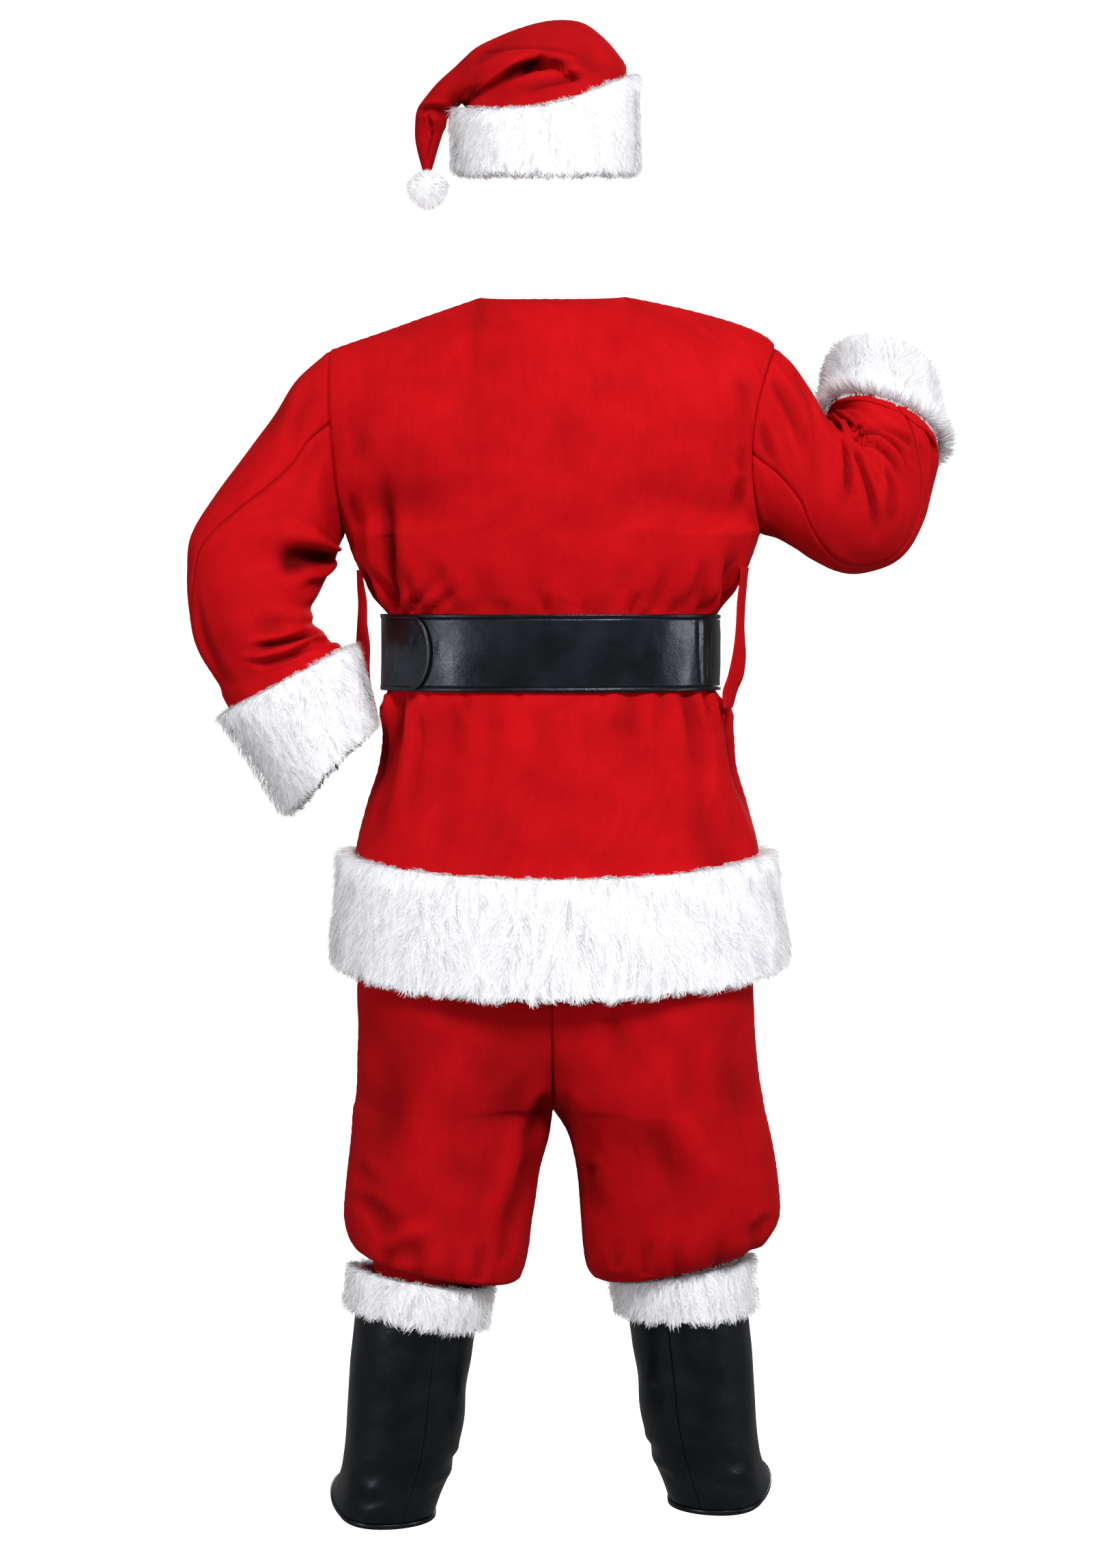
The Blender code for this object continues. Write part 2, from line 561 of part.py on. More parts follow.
def make_jacket():
    """Back, two fronts, two-piece sleeves, fur hem and cuffs."""
    u = np.linspace(-1, 1, BODY_COLUMNS + 1)[None, :]
    levels = np.array(BODY_ROWS, float)[:, None]
    steps = (np.arange(1, YOKE_ROWS + 1) / YOKE_ROWS)[:, None]
    back = np.concatenate([body(-1, u, levels), yoke(-1, u, steps)])
    front = np.concatenate([body(1, u, levels), yoke(1, u, steps)])
    half = BODY_COLUMNS // 2
    grids = {"jacket_back": back, "jacket_front_left": front[:, :half + 1],
             "jacket_front_right": front[:, half:]}
    for arm in ("left", "right"):
        turns = np.arange(SLEEVE_COLUMNS + 1) * 2 * math.pi / SLEEVE_COLUMNS
        k = np.concatenate([np.linspace(0, CUFF_START, SLEEVE_ROWS), [SLEEVE_END]])[:, None]
        start, stop = FRONT_SEAM - SLEEVE_COLUMNS, BACK_SEAM[arm]
        under = np.arange(start, stop + 1) * 2 * math.pi / SLEEVE_COLUMNS
        over = turns[stop:FRONT_SEAM + 1]
        grids[f"sleeve_{arm}_under"] = sleeve(arm, under[None, :], k)
        grids[f"sleeve_{arm}_top"] = sleeve(arm, over[None, :], k)
    vectors = inward(list(grids.values()), WALL)
    seams = {"back": ("first column", "last column", "last row"),
             "front_left": ("first column", "last column", "last row"),
             "front_right": ("first column", "last column", "last row"),
             "top": ("first row", "first column", "last column"),
             "under": ("first row", "first column", "last column")}
    for (name, grid), vector in zip(grids.items(), vectors):
        kind = name.removeprefix("jacket_").removeprefix("sleeve_left_").removeprefix("sleeve_right_")
        wall(name, grid, vector, "velvet", seams[kind])

    def hem(a, v):
        return jacket_ring(a, HEM_FUR_TOP - HEM_FUR_DEPTH * v)

    fur_band("jacket_hem_fur", hem, 2 * BODY_COLUMNS, HEM_FUR)
    for arm in ("left", "right"):
        def cuff(a, v, arm=arm):
            return sleeve(arm, 2 * math.pi * a, CUFF_START + (CUFF_END - CUFF_START) * v)

        fur_band(f"cuff_fur_{arm}", cuff, SLEEVE_COLUMNS, CUFF_FUR)


def make_loops():
    """Belt carriers, ribbons of folded cloth that stand off the sides."""
    for side, rows in LOOP.items():
        k = np.linspace(0, len(rows["x"]) - 1, 17)
        row = by_row(rows, k)
        sign = np.sign(row["x"][0])
        turn = np.radians(row["turn"])
        wide = stack(sign * np.sin(turn), np.cos(turn), 0 * turn) * LOOP_WIDTH / 2
        path = stack(row["x"], row["y"], row["z"])
        along = np.gradient(path, axis=0)
        thick = np.cross(wide, along)
        thick *= LOOP_THICK / 2 / np.linalg.norm(thick, axis=1, keepdims=True)
        section = [path - wide - thick, path + wide - thick, path + wide + thick, path - wide + thick]
        tube(f"belt_loop_{side}", np.stack(section, axis=1), "velvet", closed=False)


def make_belt():
    """Leatherette strap, its bound edge, eyelets and a plain frame buckle with a prong."""
    half = BELT_HEIGHT / 2
    q = np.concatenate([np.linspace(BELT_START, 0.94, 33), np.linspace(0.955, 0.99, 4),
                        np.linspace(1.01, BELT_END - BELT_ROUND, 12),
                        BELT_END - BELT_ROUND * (1 - np.sin(np.linspace(0.25, 1.45, 5)))])
    reach = np.clip((q - BELT_END + BELT_ROUND) / BELT_ROUND, 0, 1)
    edge = half * np.sqrt(1 - reach**2)
    inner = np.maximum(edge - BINDING - SEAM, 2.0)
    heights = inner[None, :] * np.linspace(-1, 1, 3)[:, None]
    centre = belt(q[None, :], heights)

    def off(points, q_values, distance):
        ring = belt(q_values + 1e-3, 0.0) - belt(q_values - 1e-3, 0.0)
        normal = stack(ring[..., 1], -ring[..., 0], 0 * q_values)
        normal /= -np.linalg.norm(normal, axis=-1, keepdims=True)
        return points + normal * distance

    face = off(centre, q[None, :], LEATHER / 2)
    wall("belt_strap", face, off(centre, q[None, :], -LEATHER / 2) - face, "leatherette")

    path_q = np.concatenate([q, q[::-1]])
    path_h = np.concatenate([edge, -edge[::-1]])
    inside = np.concatenate([inner + SEAM + 0.2, -(inner[::-1] + SEAM + 0.2)])
    thick = LEATHER / 2 + 0.5
    tip_q = np.minimum(path_q + 0.004 * (np.abs(path_h) < half - 0.5), BELT_END + 0.004)
    ring = [off(belt(path_q, inside), path_q, thick), off(belt(tip_q, path_h), tip_q, thick),
            off(belt(tip_q, path_h), tip_q, -thick), off(belt(path_q, inside), path_q, -thick)]
    tube("belt_binding", np.stack(ring, axis=1), "leatherette", closed=False)

    for number, turns in enumerate(EYELETS, start=1):
        seat = np.array([turns])
        place = off(belt(seat, 0.0), seat, LEATHER / 2 + 0.8 + 0.9)[0]
        normal = off(belt(seat, 0.0), seat, 1.0)[0] - belt(seat, 0.0)[0]
        bpy.ops.mesh.primitive_torus_add(
            major_segments=12, minor_segments=5, major_radius=EYELET_RADIUS * MM, minor_radius=0.8 * MM)
        made = bpy.context.object
        turned = math.atan2(normal[0], -normal[1])
        points = np.array([tuple(vertex.co) for vertex in made.data.vertices]) / MM
        x, y, z = points[:, 0], points[:, 2], points[:, 1]
        points = stack(x * math.cos(turned) - y * math.sin(turned),
                       x * math.sin(turned) + y * math.cos(turned), z) + place
        faces = [tuple(polygon.vertices) for polygon in made.data.polygons]
        bpy.data.objects.remove(made)
        solid(f"belt_eyelet_{number}", points, faces, "brass")
    make_buckle()


def make_buckle():
    """Frame that lies on the strap, the bar behind it, and the prong across it."""
    front = BELT_RING["front"] + BELT_LIFT + LEATHER
    frame = bpy.data.curves.new("belt_buckle_frame", "CURVE")
    frame.dimensions = "2D"
    frame.fill_mode = "BOTH"
    frame.extrude = 1.8 * MM
    frame.bevel_depth = 0.6 * MM
    frame.bevel_resolution = 0
    for half_x, half_z, round_off in ((50.0, 61.0, 12.0), (39.0, 50.0, 6.0)):
        outline = rounded(half_x, half_z, round_off)
        spline = frame.splines.new("POLY")
        spline.points.add(len(outline) - 1)
        for point, (x, y) in zip(spline.points, outline):
            point.co = (x * MM, y * MM, 0, 1)
        spline.use_cyclic_u = True
    holder = bpy.data.objects.new("belt_buckle_frame", frame)
    SUIT.objects.link(holder)
    made = bpy.data.meshes.new_from_object(holder.evaluated_get(bpy.context.evaluated_depsgraph_get()))
    bpy.data.objects.remove(holder)
    points = np.array([tuple(vertex.co) for vertex in made.vertices]) / MM
    faces = [tuple(polygon.vertices) for polygon in made.polygons]
    points = stack(points[:, 0], front + 4.0 + points[:, 2], BELT_Z + points[:, 1])
    welded("belt_buckle_frame", points, faces, "brass")

    rise = BELT_HEIGHT / 2 + 3.0
    bar = [(0, front + 1.0, rise), (0, front - 3.0, rise - 0.4), (0, BELT_RING["front"] + 1.7, rise - 2.0),
           (0, BELT_RING["front"] + 1.7, -rise + 2.0), (0, front - 3.0, -rise + 0.4), (0, front + 1.0, -rise)]
    rod("belt_buckle_bar", [(x, y, BELT_Z + z) for x, y, z in bar], 1.5)
    seat = belt(np.array([EYELETS[1]]), 0.0)[0]
    prong = [(seat[0], seat[1] + 3.5), (seat[0] - 4, front + 6.0), (seat[0] - 9, front + 8.7),
             (-40, front + 8.9), (-49, front + 8.6)]
    rod("belt_buckle_prong", [(x, y, BELT_Z) for x, y in prong], 1.7)


def rounded(half_x, half_y, radius, steps=3):
    """Outline of a rectangle with round corners."""
    outline = []
    for corner, (sx, sy) in enumerate(((1, 1), (-1, 1), (-1, -1), (1, -1))):
        for step in range(steps + 1):
            angle = math.pi / 2 * (corner + step / steps)
            outline.append((sx * (half_x - radius) + radius * math.cos(angle),
                            sy * (half_y - radius) + radius * math.sin(angle)))
    return outline


def welded(name, points, faces, finish):
    """Object whose coincident points are joined first."""
    _, first, same = np.unique(np.round(points, 3), axis=0, return_index=True, return_inverse=True)
    same = same.reshape(-1)
    return solid(name, points[first], [tuple(same[i] for i in face) for face in faces], finish)


def rod(name, places, radius):
    """Round wire through a few places."""
    curve = bpy.data.curves.new(name, "CURVE")
    curve.dimensions = "3D"
    curve.bevel_depth = radius * MM
    curve.bevel_resolution = 2
    curve.use_fill_caps = True
    spline = curve.splines.new("POLY")
    spline.points.add(len(places) - 1)
    for point, place in zip(spline.points, places):
        point.co = (*(value * MM for value in place), 1)
    holder = bpy.data.objects.new(name, curve)
    SUIT.objects.link(holder)
    made = bpy.data.meshes.new_from_object(holder.evaluated_get(bpy.context.evaluated_depsgraph_get()))
    bpy.data.objects.remove(holder)
    points = np.array([tuple(vertex.co) for vertex in made.vertices]) / MM
    welded(name, points, [tuple(polygon.vertices) for polygon in made.polygons], "brass")


def make_trousers():
    """Four leg panels and the waistband."""
    m = np.linspace(0, 1, LEG_COLUMNS + 1)[None, :]
    rows = len(LEG["left"]["z"])
    k = np.arange(rows, dtype=float)[:, None]
    grids = {f"trouser_{side}_{name}": leg(side, face, m, k)
             for side in LEG for name, face in (("back", -1), ("front", 1))}
    for (name, grid), vectors in zip(grids.items(), inward(list(grids.values()), WALL)):
        wall(name, grid, vectors, "velvet", ("first row", "first column", "last column"))
    top = {name: grid[0] for name, grid in grids.items()}
    ring = np.concatenate([top["trouser_left_back"], top["trouser_right_back"][-2::-1],
                           top["trouser_right_front"][1:], top["trouser_left_front"][-2:0:-1]])
    away = ring / np.linalg.norm(ring[:, :2], axis=1, keepdims=True)
    away[:, 2] = 0
    section = [(0.6, 0.2), (0.6, WAISTBAND), (-3.0, WAISTBAND), (-3.0, 0.2)]
    band = [ring + away * out + np.array((0, 0, up)) for out, up in section]
    tube("trouser_waistband", np.stack(band, axis=1), "velvet")


def make_boot_tops():
    """Leatherette tubes with a seam at heel and toe, a bound hem and a fur band."""
    for side in BOOT_LEG:
        z = BOOT["z"][:, None]
        outer = np.linspace(0, math.pi, BOOT_COLUMNS + 1)[None, :]
        grids = {f"boot_{side}_outer": boot(side, outer, z), f"boot_{side}_inner": boot(side, -outer, z)}
        for (name, grid), vectors in zip(grids.items(), inward(list(grids.values()), LEATHER)):
            wall(name, grid, vectors, "leatherette", ("last row", "first column", "last column"))

        def shaft(a, v, side=side):
            return boot(side, 2 * math.pi * a, v)

        a = (np.arange(2 * BOOT_COLUMNS) / (2 * BOOT_COLUMNS))[:, None]
        hem, normal = outward(shaft, a, np.full((1, 4), BOOT["z"][-1] + 1e-3))
        section = np.array([(0.7, 0.2), (0.7, -BINDING), (-2.6, -BINDING), (-2.6, 0.2)])
        ring = hem + normal * section[None, :, :1] + np.array((0, 0, 1)) * section[None, :, 1:]
        tube(f"boot_{side}_binding", ring - np.array((0, 0, 0.6)), "leatherette")

        def fur(a, v, side=side):
            top, depth, tilt, foot_tilt = BOOT_FUR_BAND[side]
            return boot(side, 2 * math.pi * a, top - depth * v, lift=tilt + (foot_tilt - tilt) * v)

        fur_band(f"boot_{side}_fur", fur, 2 * BOOT_COLUMNS, BOOT_FUR)


def make_hat():
    """Two crown panels, the fur band and the pompom."""
    k = np.linspace(0, len(HAT["half"]) - 1, HAT_ROWS)[:, None]
    half = HAT_COLUMNS // 2
    near = np.linspace(math.pi / 2, -math.pi / 2, half + 1)[None, :] + math.pi / 2 + math.pi / 6
    far = near - math.pi
    grids = {"hat_panel_back": crown(near, k), "hat_panel_front": crown(far, k)}
    for (name, grid), vectors in zip(grids.items(), inward(list(grids.values()), HAT_WALL)):
        wall(name, grid, vectors, "velvet", ("first column", "last column"))

    def band(a, v):
        angle = 2 * math.pi * a
        x = HAT_BAND["centre"] - HAT_BAND["half_x"] * np.cos(angle)
        y = -HAT_BAND["half_y"] * np.sin(angle)
        top = smooth(x, HAT_BAND_TOP["x"], HAT_BAND_TOP["z"])
        return stack(x, y + HAT_Y, top + (HAT_BAND_FOOT - top) * v + HAT_TILT * y)

    fur_band("hat_fur_band", band, HAT_COLUMNS, HAT_FUR)
    make_pompom()


def make_pompom():
    """Ball whose every face is drawn out into a three-sided lock, shorter where the tip is sewn on."""
    ball = bmesh.new()
    bmesh.ops.create_icosphere(ball, subdivisions=2, radius=POMPOM_CORE * MM)
    bmesh.ops.inset_individual(ball, faces=ball.faces[:], thickness=0.8 * MM)
    tips = [face for face in ball.faces if len(face.verts) == 3]
    poked = bmesh.ops.poke(ball, faces=tips)
    for vertex in poked["verts"]:
        away = vertex.co.normalized()
        reach = POMPOM_REACH - 13.0 * max(0.0, away.z) ** 2
        vertex.co = away * reach * MM
    for vertex in ball.verts:
        vertex.co = [value + place * MM for value, place in zip(vertex.co, POMPOM)]
    bmesh.ops.recalc_face_normals(ball, faces=ball.faces)
    mesh = bpy.data.meshes.new("hat_pompom")
    ball.to_mesh(mesh)
    ball.free()
    show("hat_pompom", mesh, "fur")


for leftover in list(bpy.data.objects):
    bpy.data.objects.remove(leftover)
SUIT = bpy.data.collections.new("santa_suit")
bpy.context.scene.collection.children.link(SUIT)

make_jacket()
make_loops()
make_belt()
make_trousers()
make_boot_tops()
make_hat()
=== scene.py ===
"""Santa suit, dressed: velvet, long fur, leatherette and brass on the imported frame.

The frame holds the suit's solids: +Z up, the wearer faces +Y, +X is the wearer's right, the origin is
between the shoulders. Tables and sizes here are millimetres; meshes are made in metres. Every cloth
piece is a thin shell on the form of its solid: the same surface, cut finer, with its creases and seams
pressed into it along its normals. Fur is a soft backing with rows of bent blades rooted in it.
"""

import logging
import math
from collections.abc import Callable
from dataclasses import dataclass, field
from enum import Enum
from typing import ClassVar

import bpy
import numpy as np
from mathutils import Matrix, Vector

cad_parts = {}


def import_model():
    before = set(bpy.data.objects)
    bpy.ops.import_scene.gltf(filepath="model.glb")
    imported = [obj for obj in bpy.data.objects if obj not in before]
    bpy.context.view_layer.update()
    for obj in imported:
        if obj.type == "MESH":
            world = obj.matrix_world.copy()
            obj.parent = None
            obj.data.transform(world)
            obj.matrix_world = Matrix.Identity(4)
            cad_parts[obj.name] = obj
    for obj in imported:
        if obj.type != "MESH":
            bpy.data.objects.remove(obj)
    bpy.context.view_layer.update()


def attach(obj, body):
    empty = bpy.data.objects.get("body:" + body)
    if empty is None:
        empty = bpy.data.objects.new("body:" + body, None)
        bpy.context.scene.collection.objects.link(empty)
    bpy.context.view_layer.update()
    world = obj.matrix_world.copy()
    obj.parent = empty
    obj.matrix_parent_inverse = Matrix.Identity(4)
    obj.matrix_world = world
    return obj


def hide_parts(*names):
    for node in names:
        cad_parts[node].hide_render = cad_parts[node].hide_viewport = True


LOG = logging.getLogger("santa_suit")
MM = 0.001
BODY = "root"
UP = np.array((0.0, 0.0, 1.0))
LEVEL = np.array((1.0, 1.0, 0.0))
Array = np.ndarray
Finish = bpy.types.Material
Table = dict[str, Array]
Surface = Callable[[Array, Array], Array]


class Face(Enum):
    """The two sides of the wearer: a sign along +Y."""

    BACK = -1
    FRONT = 1


class Side(Enum):
    """The wearer's left and right: a sign along +X."""

    LEFT = -1
    RIGHT = 1

    @property
    def word(self) -> str:
        """The side's name as nodes spell it."""
        return self.name.lower()


# ---------------------------------------------------------------- curves

def table(names: str, rows: list[tuple[float, ...]]) -> Table:
    """Short table with named columns, each read as an array."""
    return dict(zip(names.split(), np.array(rows, float).T))


def smooth(x: Array, xs: Array, ys: Array) -> Array:
    """Cubic curve through points that may run either way, and straight on past its ends.

    Between two points it is the Hermite cubic whose slopes are the central differences there.

    Args:
        x: Where to read the curve.
        xs: Places of the points.
        ys: Their values.

    Returns:
        The curve's values at x.
    """
    if xs[0] > xs[-1]:
        xs, ys = xs[::-1], ys[::-1]
    slope = np.gradient(ys, xs)
    inside = np.clip(x, xs[0], xs[-1])
    i = np.clip(np.searchsorted(xs, inside) - 1, 0, len(xs) - 2)
    step = xs[i + 1] - xs[i]
    t = (inside - xs[i]) / step
    rise = ys[i + 1] - ys[i]
    start, end = slope[i] * step, slope[i + 1] * step
    curve = ys[i] + start * t + (3 * rise - 2 * start - end) * t**2 + (start + end - 2 * rise) * t**3
    return curve + (x - inside) * np.where(x < inside, slope[0], slope[-1])


def by_row(rows: Table, k: Array) -> Table:
    """Every column of a table at the row number k, which may lie between two rows."""
    numbers = np.arange(len(next(iter(rows.values()))), dtype=float)
    return {name: smooth(k, numbers, values) for name, values in rows.items()}


def by_height(rows: Table, z: Array) -> Table:
    """Every column of a table at the height z, which is one of its columns."""
    return {name: smooth(z, rows["z"], values) for name, values in rows.items()}


def ease(x: Array) -> Array:
    """Soft step from 0 to 1."""
    x = np.clip(x, 0, 1)
    return x * x * (3 - 2 * x)


def stack(x: Array, y: Array, z: Array) -> Array:
    """Points from three coordinate arrays that may need broadcasting."""
    return np.stack(np.broadcast_arrays(x, y, z), axis=-1).astype(float)


def between(row: Table, first: str, last: str, cosine: Array) -> Array:
    """Coordinate on an oval that reaches the row's first value at cosine -1 and its last one at cosine 1."""
    return (row[first] + row[last]) / 2 - (row[first] - row[last]) / 2 * cosine


def unit(vectors: Array) -> Array:
    """Vectors of length 1 along the given ones."""
    return vectors / np.maximum(np.linalg.norm(vectors, axis=-1, keepdims=True), 1e-12)


def crowded(start: float, end: float, count: int, pull: float = 0.6) -> Array:
    """Numbers from start to end that stand closer together near both ends."""
    t = np.linspace(0, 1, count)
    return start + (end - start) * ((1 - pull) * t + pull * (1 - np.cos(math.pi * t)) / 2)


# ---------------------------------------------------------------- finishes

MULTIPLY = {"data_type": "RGBA", "blend_type": "MULTIPLY"}


def linear(colour: str) -> tuple[float, float, float, float]:
    """Linear RGBA of a hex sRGB colour."""
    parts = [int(colour[i:i + 2], 16) / 255 for i in (1, 3, 5)]
    return (*[c / 12.92 if c <= 0.04045 else ((c + 0.055) / 1.055) ** 2.4 for c in parts], 1.0)


def feed(tree: bpy.types.NodeTree, node: bpy.types.Node, inputs: dict[str | int, object]) -> None:
    """Set a node's inputs, or link them.

    Args:
        tree: The material's node tree.
        node: The node.
        inputs: For each input, a value or the output socket that feeds it.
    """
    for name, value in inputs.items():
        if isinstance(value, bpy.types.NodeSocket):
            tree.links.new(value, node.inputs[name])
        else:
            node.inputs[name].default_value = value


def add(tree: bpy.types.NodeTree, kind: str, settings: dict[str, object] | None = None,
        inputs: dict[str | int, object] | None = None, stops: tuple[tuple[float, str], ...] = ()
        ) -> bpy.types.NodeOutputs:
    """Add a node with its settings, and its inputs set or linked.

    Args:
        tree: The material's node tree.
        kind: The node's type name without the ShaderNode prefix.
        settings: Properties of the node.
        inputs: For each input, a value or the output socket that feeds it.
        stops: Places and hex colours of a colour ramp.

    Returns:
        The new node's output sockets.
    """
    node = tree.nodes.new("ShaderNode" + kind)
    for name, value in (settings or {}).items():
        setattr(node, name, value)
    feed(tree, node, inputs or {})
    if stops:
        elements = node.color_ramp.elements
        while len(elements) < len(stops):
            elements.new(0.5)
        for element, (place, colour) in zip(elements, stops):
            element.position, element.color = place, linear(colour)
    return node.outputs


def blank(name: str) -> tuple[Finish, bpy.types.NodeTree, bpy.types.Node]:
    """New material with its tree and its Principled shader."""
    made = bpy.data.materials.new(name)
    made.use_nodes = True
    return made, made.node_tree, made.node_tree.nodes["Principled BSDF"]


@dataclass(frozen=True)
class Velvet:
    """Brushed polyester velvet: short nap over a fine twill, which lightens where it is stroked."""

    name: str = "brushed_velvet"
    deep: str = "#A6070D"
    body: str = "#B70A11"
    stroked: str = "#C40E16"
    patch_mm: float = 70.0
    streak_mm: float = 9.0
    nap_mm: float = 1.1

    def material(self) -> Finish:
        """Nap patches and streaks, painted shade in creases and over whole pieces, and a fine nap in the
        bump.
        """
        made, tree, shader = blank(self.name)
        place = add(tree, "TexCoord")["UV"]
        drawn = add(tree, "Mapping", inputs={"Vector": place, "Scale": (1.0, 0.22, 1.0)})[0]
        patches, streaks, nap = (add(tree, "TexNoise", inputs={
            "Vector": vector, "Scale": 1 / (size * MM), "Detail": detail, "Roughness": roughness})[0]
            for vector, size, detail, roughness in (
                (place, self.patch_mm, 3.0, 0.55), (drawn, self.streak_mm, 4.0, 0.65),
                (place, self.nap_mm, 2.0, 0.6)))
        both = add(tree, "Mix", {"data_type": "FLOAT"}, {0: 0.35, 2: patches, 3: streaks})[0]
        colour = add(tree, "ValToRGB", inputs={"Fac": both}, stops=(
            (0.30, self.deep), (0.52, self.body), (0.72, self.stroked)))[0]
        # painted shade: a per-point attribute from the crease depth darkens the colour in creases and over
        # pieces in less light
        sunk = add(tree, "Attribute", {"attribute_name": "sunk"})["Fac"]
        shade = add(tree, "ValToRGB", inputs={"Fac": sunk}, stops=(
            (0.0, "#FFFFFF"), (0.2, "#F4F4F4"), (0.6, "#C4C4C4"), (1.0, "#868686")))[0]
        soft = add(tree, "Bump", inputs={"Strength": 0.2, "Distance": 0.0006, "Height": streaks})[0]
        feed(tree, shader, {
            "Base Color": add(tree, "Mix", MULTIPLY, {0: 1.0, 6: colour, 7: shade})[2],
            "Normal": add(tree, "Bump", inputs={
                "Strength": 0.30, "Distance": 0.0004, "Height": nap, "Normal": soft})[0],
            "Roughness": 0.85, "Specular IOR Level": 0.06, "Sheen Weight": 0.05, "Sheen Roughness": 0.4,
            "Sheen Tint": linear("#FF4038")})
        return made


@dataclass(frozen=True)
class Fur:
    """Long acrylic pile: bright white tips over a greyer, shaded backing."""

    name: str = "acrylic_fur"
    # painted shade: blades greyer towards the root, where their own shadows would fall
    root: str = "#BEBEC4"
    middle: str = "#E0E0E2"
    tip: str = "#F0F0F2"

    def material(self) -> Finish:
        """Painted shade along a blade, greyer at the root, which the UV's V gives, and a grey for each blade
        in U.
        """
        made, tree, shader = blank(self.name)
        place = add(tree, "SeparateXYZ", inputs={0: add(tree, "TexCoord")["UV"]})
        along = add(tree, "ValToRGB", inputs={"Fac": place["Y"]}, stops=(
            (0.0, self.root), (0.45, self.middle), (1.0, self.tip)))[0]
        # grey for each blade: partly its own random tone, partly painted shade between tufts
        shade = add(tree, "ValToRGB", inputs={"Fac": place["X"]}, stops=(
            (0.0, "#D4D4D9"), (0.55, "#FFFFFF")))[0]
        feed(tree, shader, {"Base Color": add(tree, "Mix", MULTIPLY, {0: 1.0, 6: along, 7: shade})[2],
                            "Roughness": 0.8, "Specular IOR Level": 0.25, "Sheen Weight": 0.3})
        return made

    def backing(self) -> Finish:
        """The shaded ground between the blades, tufted by a noise on object coordinates."""
        made, tree, shader = blank(self.name + "_backing")
        tufts = add(tree, "TexNoise", inputs={
            "Vector": add(tree, "TexCoord")["Object"], "Scale": 150.0, "Detail": 4.0})[0]
        feed(tree, shader, {
            "Base Color": add(tree, "ValToRGB", inputs={"Fac": tufts}, stops=(
                (0.3, "#D2D2D5"), (0.65, "#EFEFF0")))[0],
            "Normal": add(tree, "Bump", inputs={"Strength": 0.8, "Distance": 0.003, "Height": tufts})[0],
            "Roughness": 0.9})
        return made


@dataclass(frozen=True)
class Leatherette:
    """Black coated cloth: an embossed grain under a satin coat, a little smoother where it is rubbed."""

    name: str = "black_leatherette"
    dark: str = "#080A0D"
    light: str = "#13161A"
    grain_mm: float = 1.6
    gloss: float = 0.31

    def material(self) -> Finish:
        """Grain cells in the bump and slow changes in gloss, both on the piece's own UV."""
        made, tree, shader = blank(self.name)
        place = add(tree, "TexCoord")["UV"]
        slow = add(tree, "TexNoise", inputs={"Vector": place, "Scale": 22.0, "Detail": 3.0})[0]
        cells = add(tree, "TexVoronoi", {"feature": "SMOOTH_F1"}, {
            "Vector": place, "Scale": 1 / (self.grain_mm * MM), "Smoothness": 0.4})[0]
        dents = add(tree, "TexNoise", inputs={"Vector": place, "Scale": 75.0, "Detail": 2.0})[0]
        wide = add(tree, "Bump", inputs={"Strength": 0.35, "Distance": 0.0012, "Height": dents})[0]
        feed(tree, shader, {
            "Base Color": add(tree, "ValToRGB", inputs={"Fac": slow}, stops=(
                (0.3, self.dark), (0.75, self.light)))[0],
            "Normal": add(tree, "Bump", inputs={
                "Strength": 0.22, "Distance": 0.0004, "Height": cells, "Normal": wide})[0],
            "Roughness": add(tree, "MapRange", inputs={
                0: slow, 1: 0.3, 2: 0.7, 3: self.gloss - 0.06, 4: self.gloss + 0.08})[0],
            "Specular IOR Level": 0.34, "Specular Tint": linear("#DCE4F5")})
        return made


@dataclass(frozen=True)
class Brass:
    """Plated brass: pale gold, polished, with faint tarnish."""

    name: str = "plated_brass"
    bright: str = "#D9B978"
    dull: str = "#A88648"

    def material(self) -> Finish:
        """Tarnish patches in the colour and the roughness."""
        made, tree, shader = blank(self.name)
        tarnish = add(tree, "TexNoise", inputs={
            "Vector": add(tree, "TexCoord")["Object"], "Scale": 130.0, "Detail": 3.0})[0]
        feed(tree, shader, {
            "Base Color": add(tree, "ValToRGB", inputs={"Fac": tarnish}, stops=(
                (0.35, self.dull), (0.6, self.bright)))[0],
            "Roughness": add(tree, "MapRange", inputs={0: tarnish, 3: 0.34, 4: 0.18})[0],
            "Metallic": 1.0})
        return made


@dataclass(frozen=True)
class Thread:
    """Polyester sewing thread: matte and twisted."""

    name: str = "black_thread"
    colour: str = "#1B1B1D"

    def material(self) -> Finish:
        """The ply's twist as a fine noise in the bump."""
        made, tree, shader = blank(self.name)
        twist = add(tree, "TexNoise", inputs={
            "Vector": add(tree, "TexCoord")["Object"], "Scale": 1800.0, "Detail": 1.0})[0]
        feed(tree, shader, {
            "Base Color": linear(self.colour), "Roughness": 0.6,
            "Normal": add(tree, "Bump", inputs={"Strength": 0.4, "Distance": 0.0002, "Height": twist})[0]})
        return made


@dataclass
class Wardrobe:
    """The suit's finishes, each made once."""

    velvet: Finish = field(default_factory=Velvet().material)
    fur: Finish = field(default_factory=Fur().material)
    backing: Finish = field(default_factory=Fur().backing)
    leatherette: Finish = field(default_factory=Leatherette().material)
    brass: Finish = field(default_factory=Brass().material)
    thread: Finish = field(default_factory=Thread().material)


# ---------------------------------------------------------------- meshes

def new_object(name: str, data: bpy.types.ID) -> bpy.types.Object:
    """New object in the scene."""
    made = bpy.data.objects.new(name, data)
    bpy.context.scene.collection.objects.link(made)
    return made


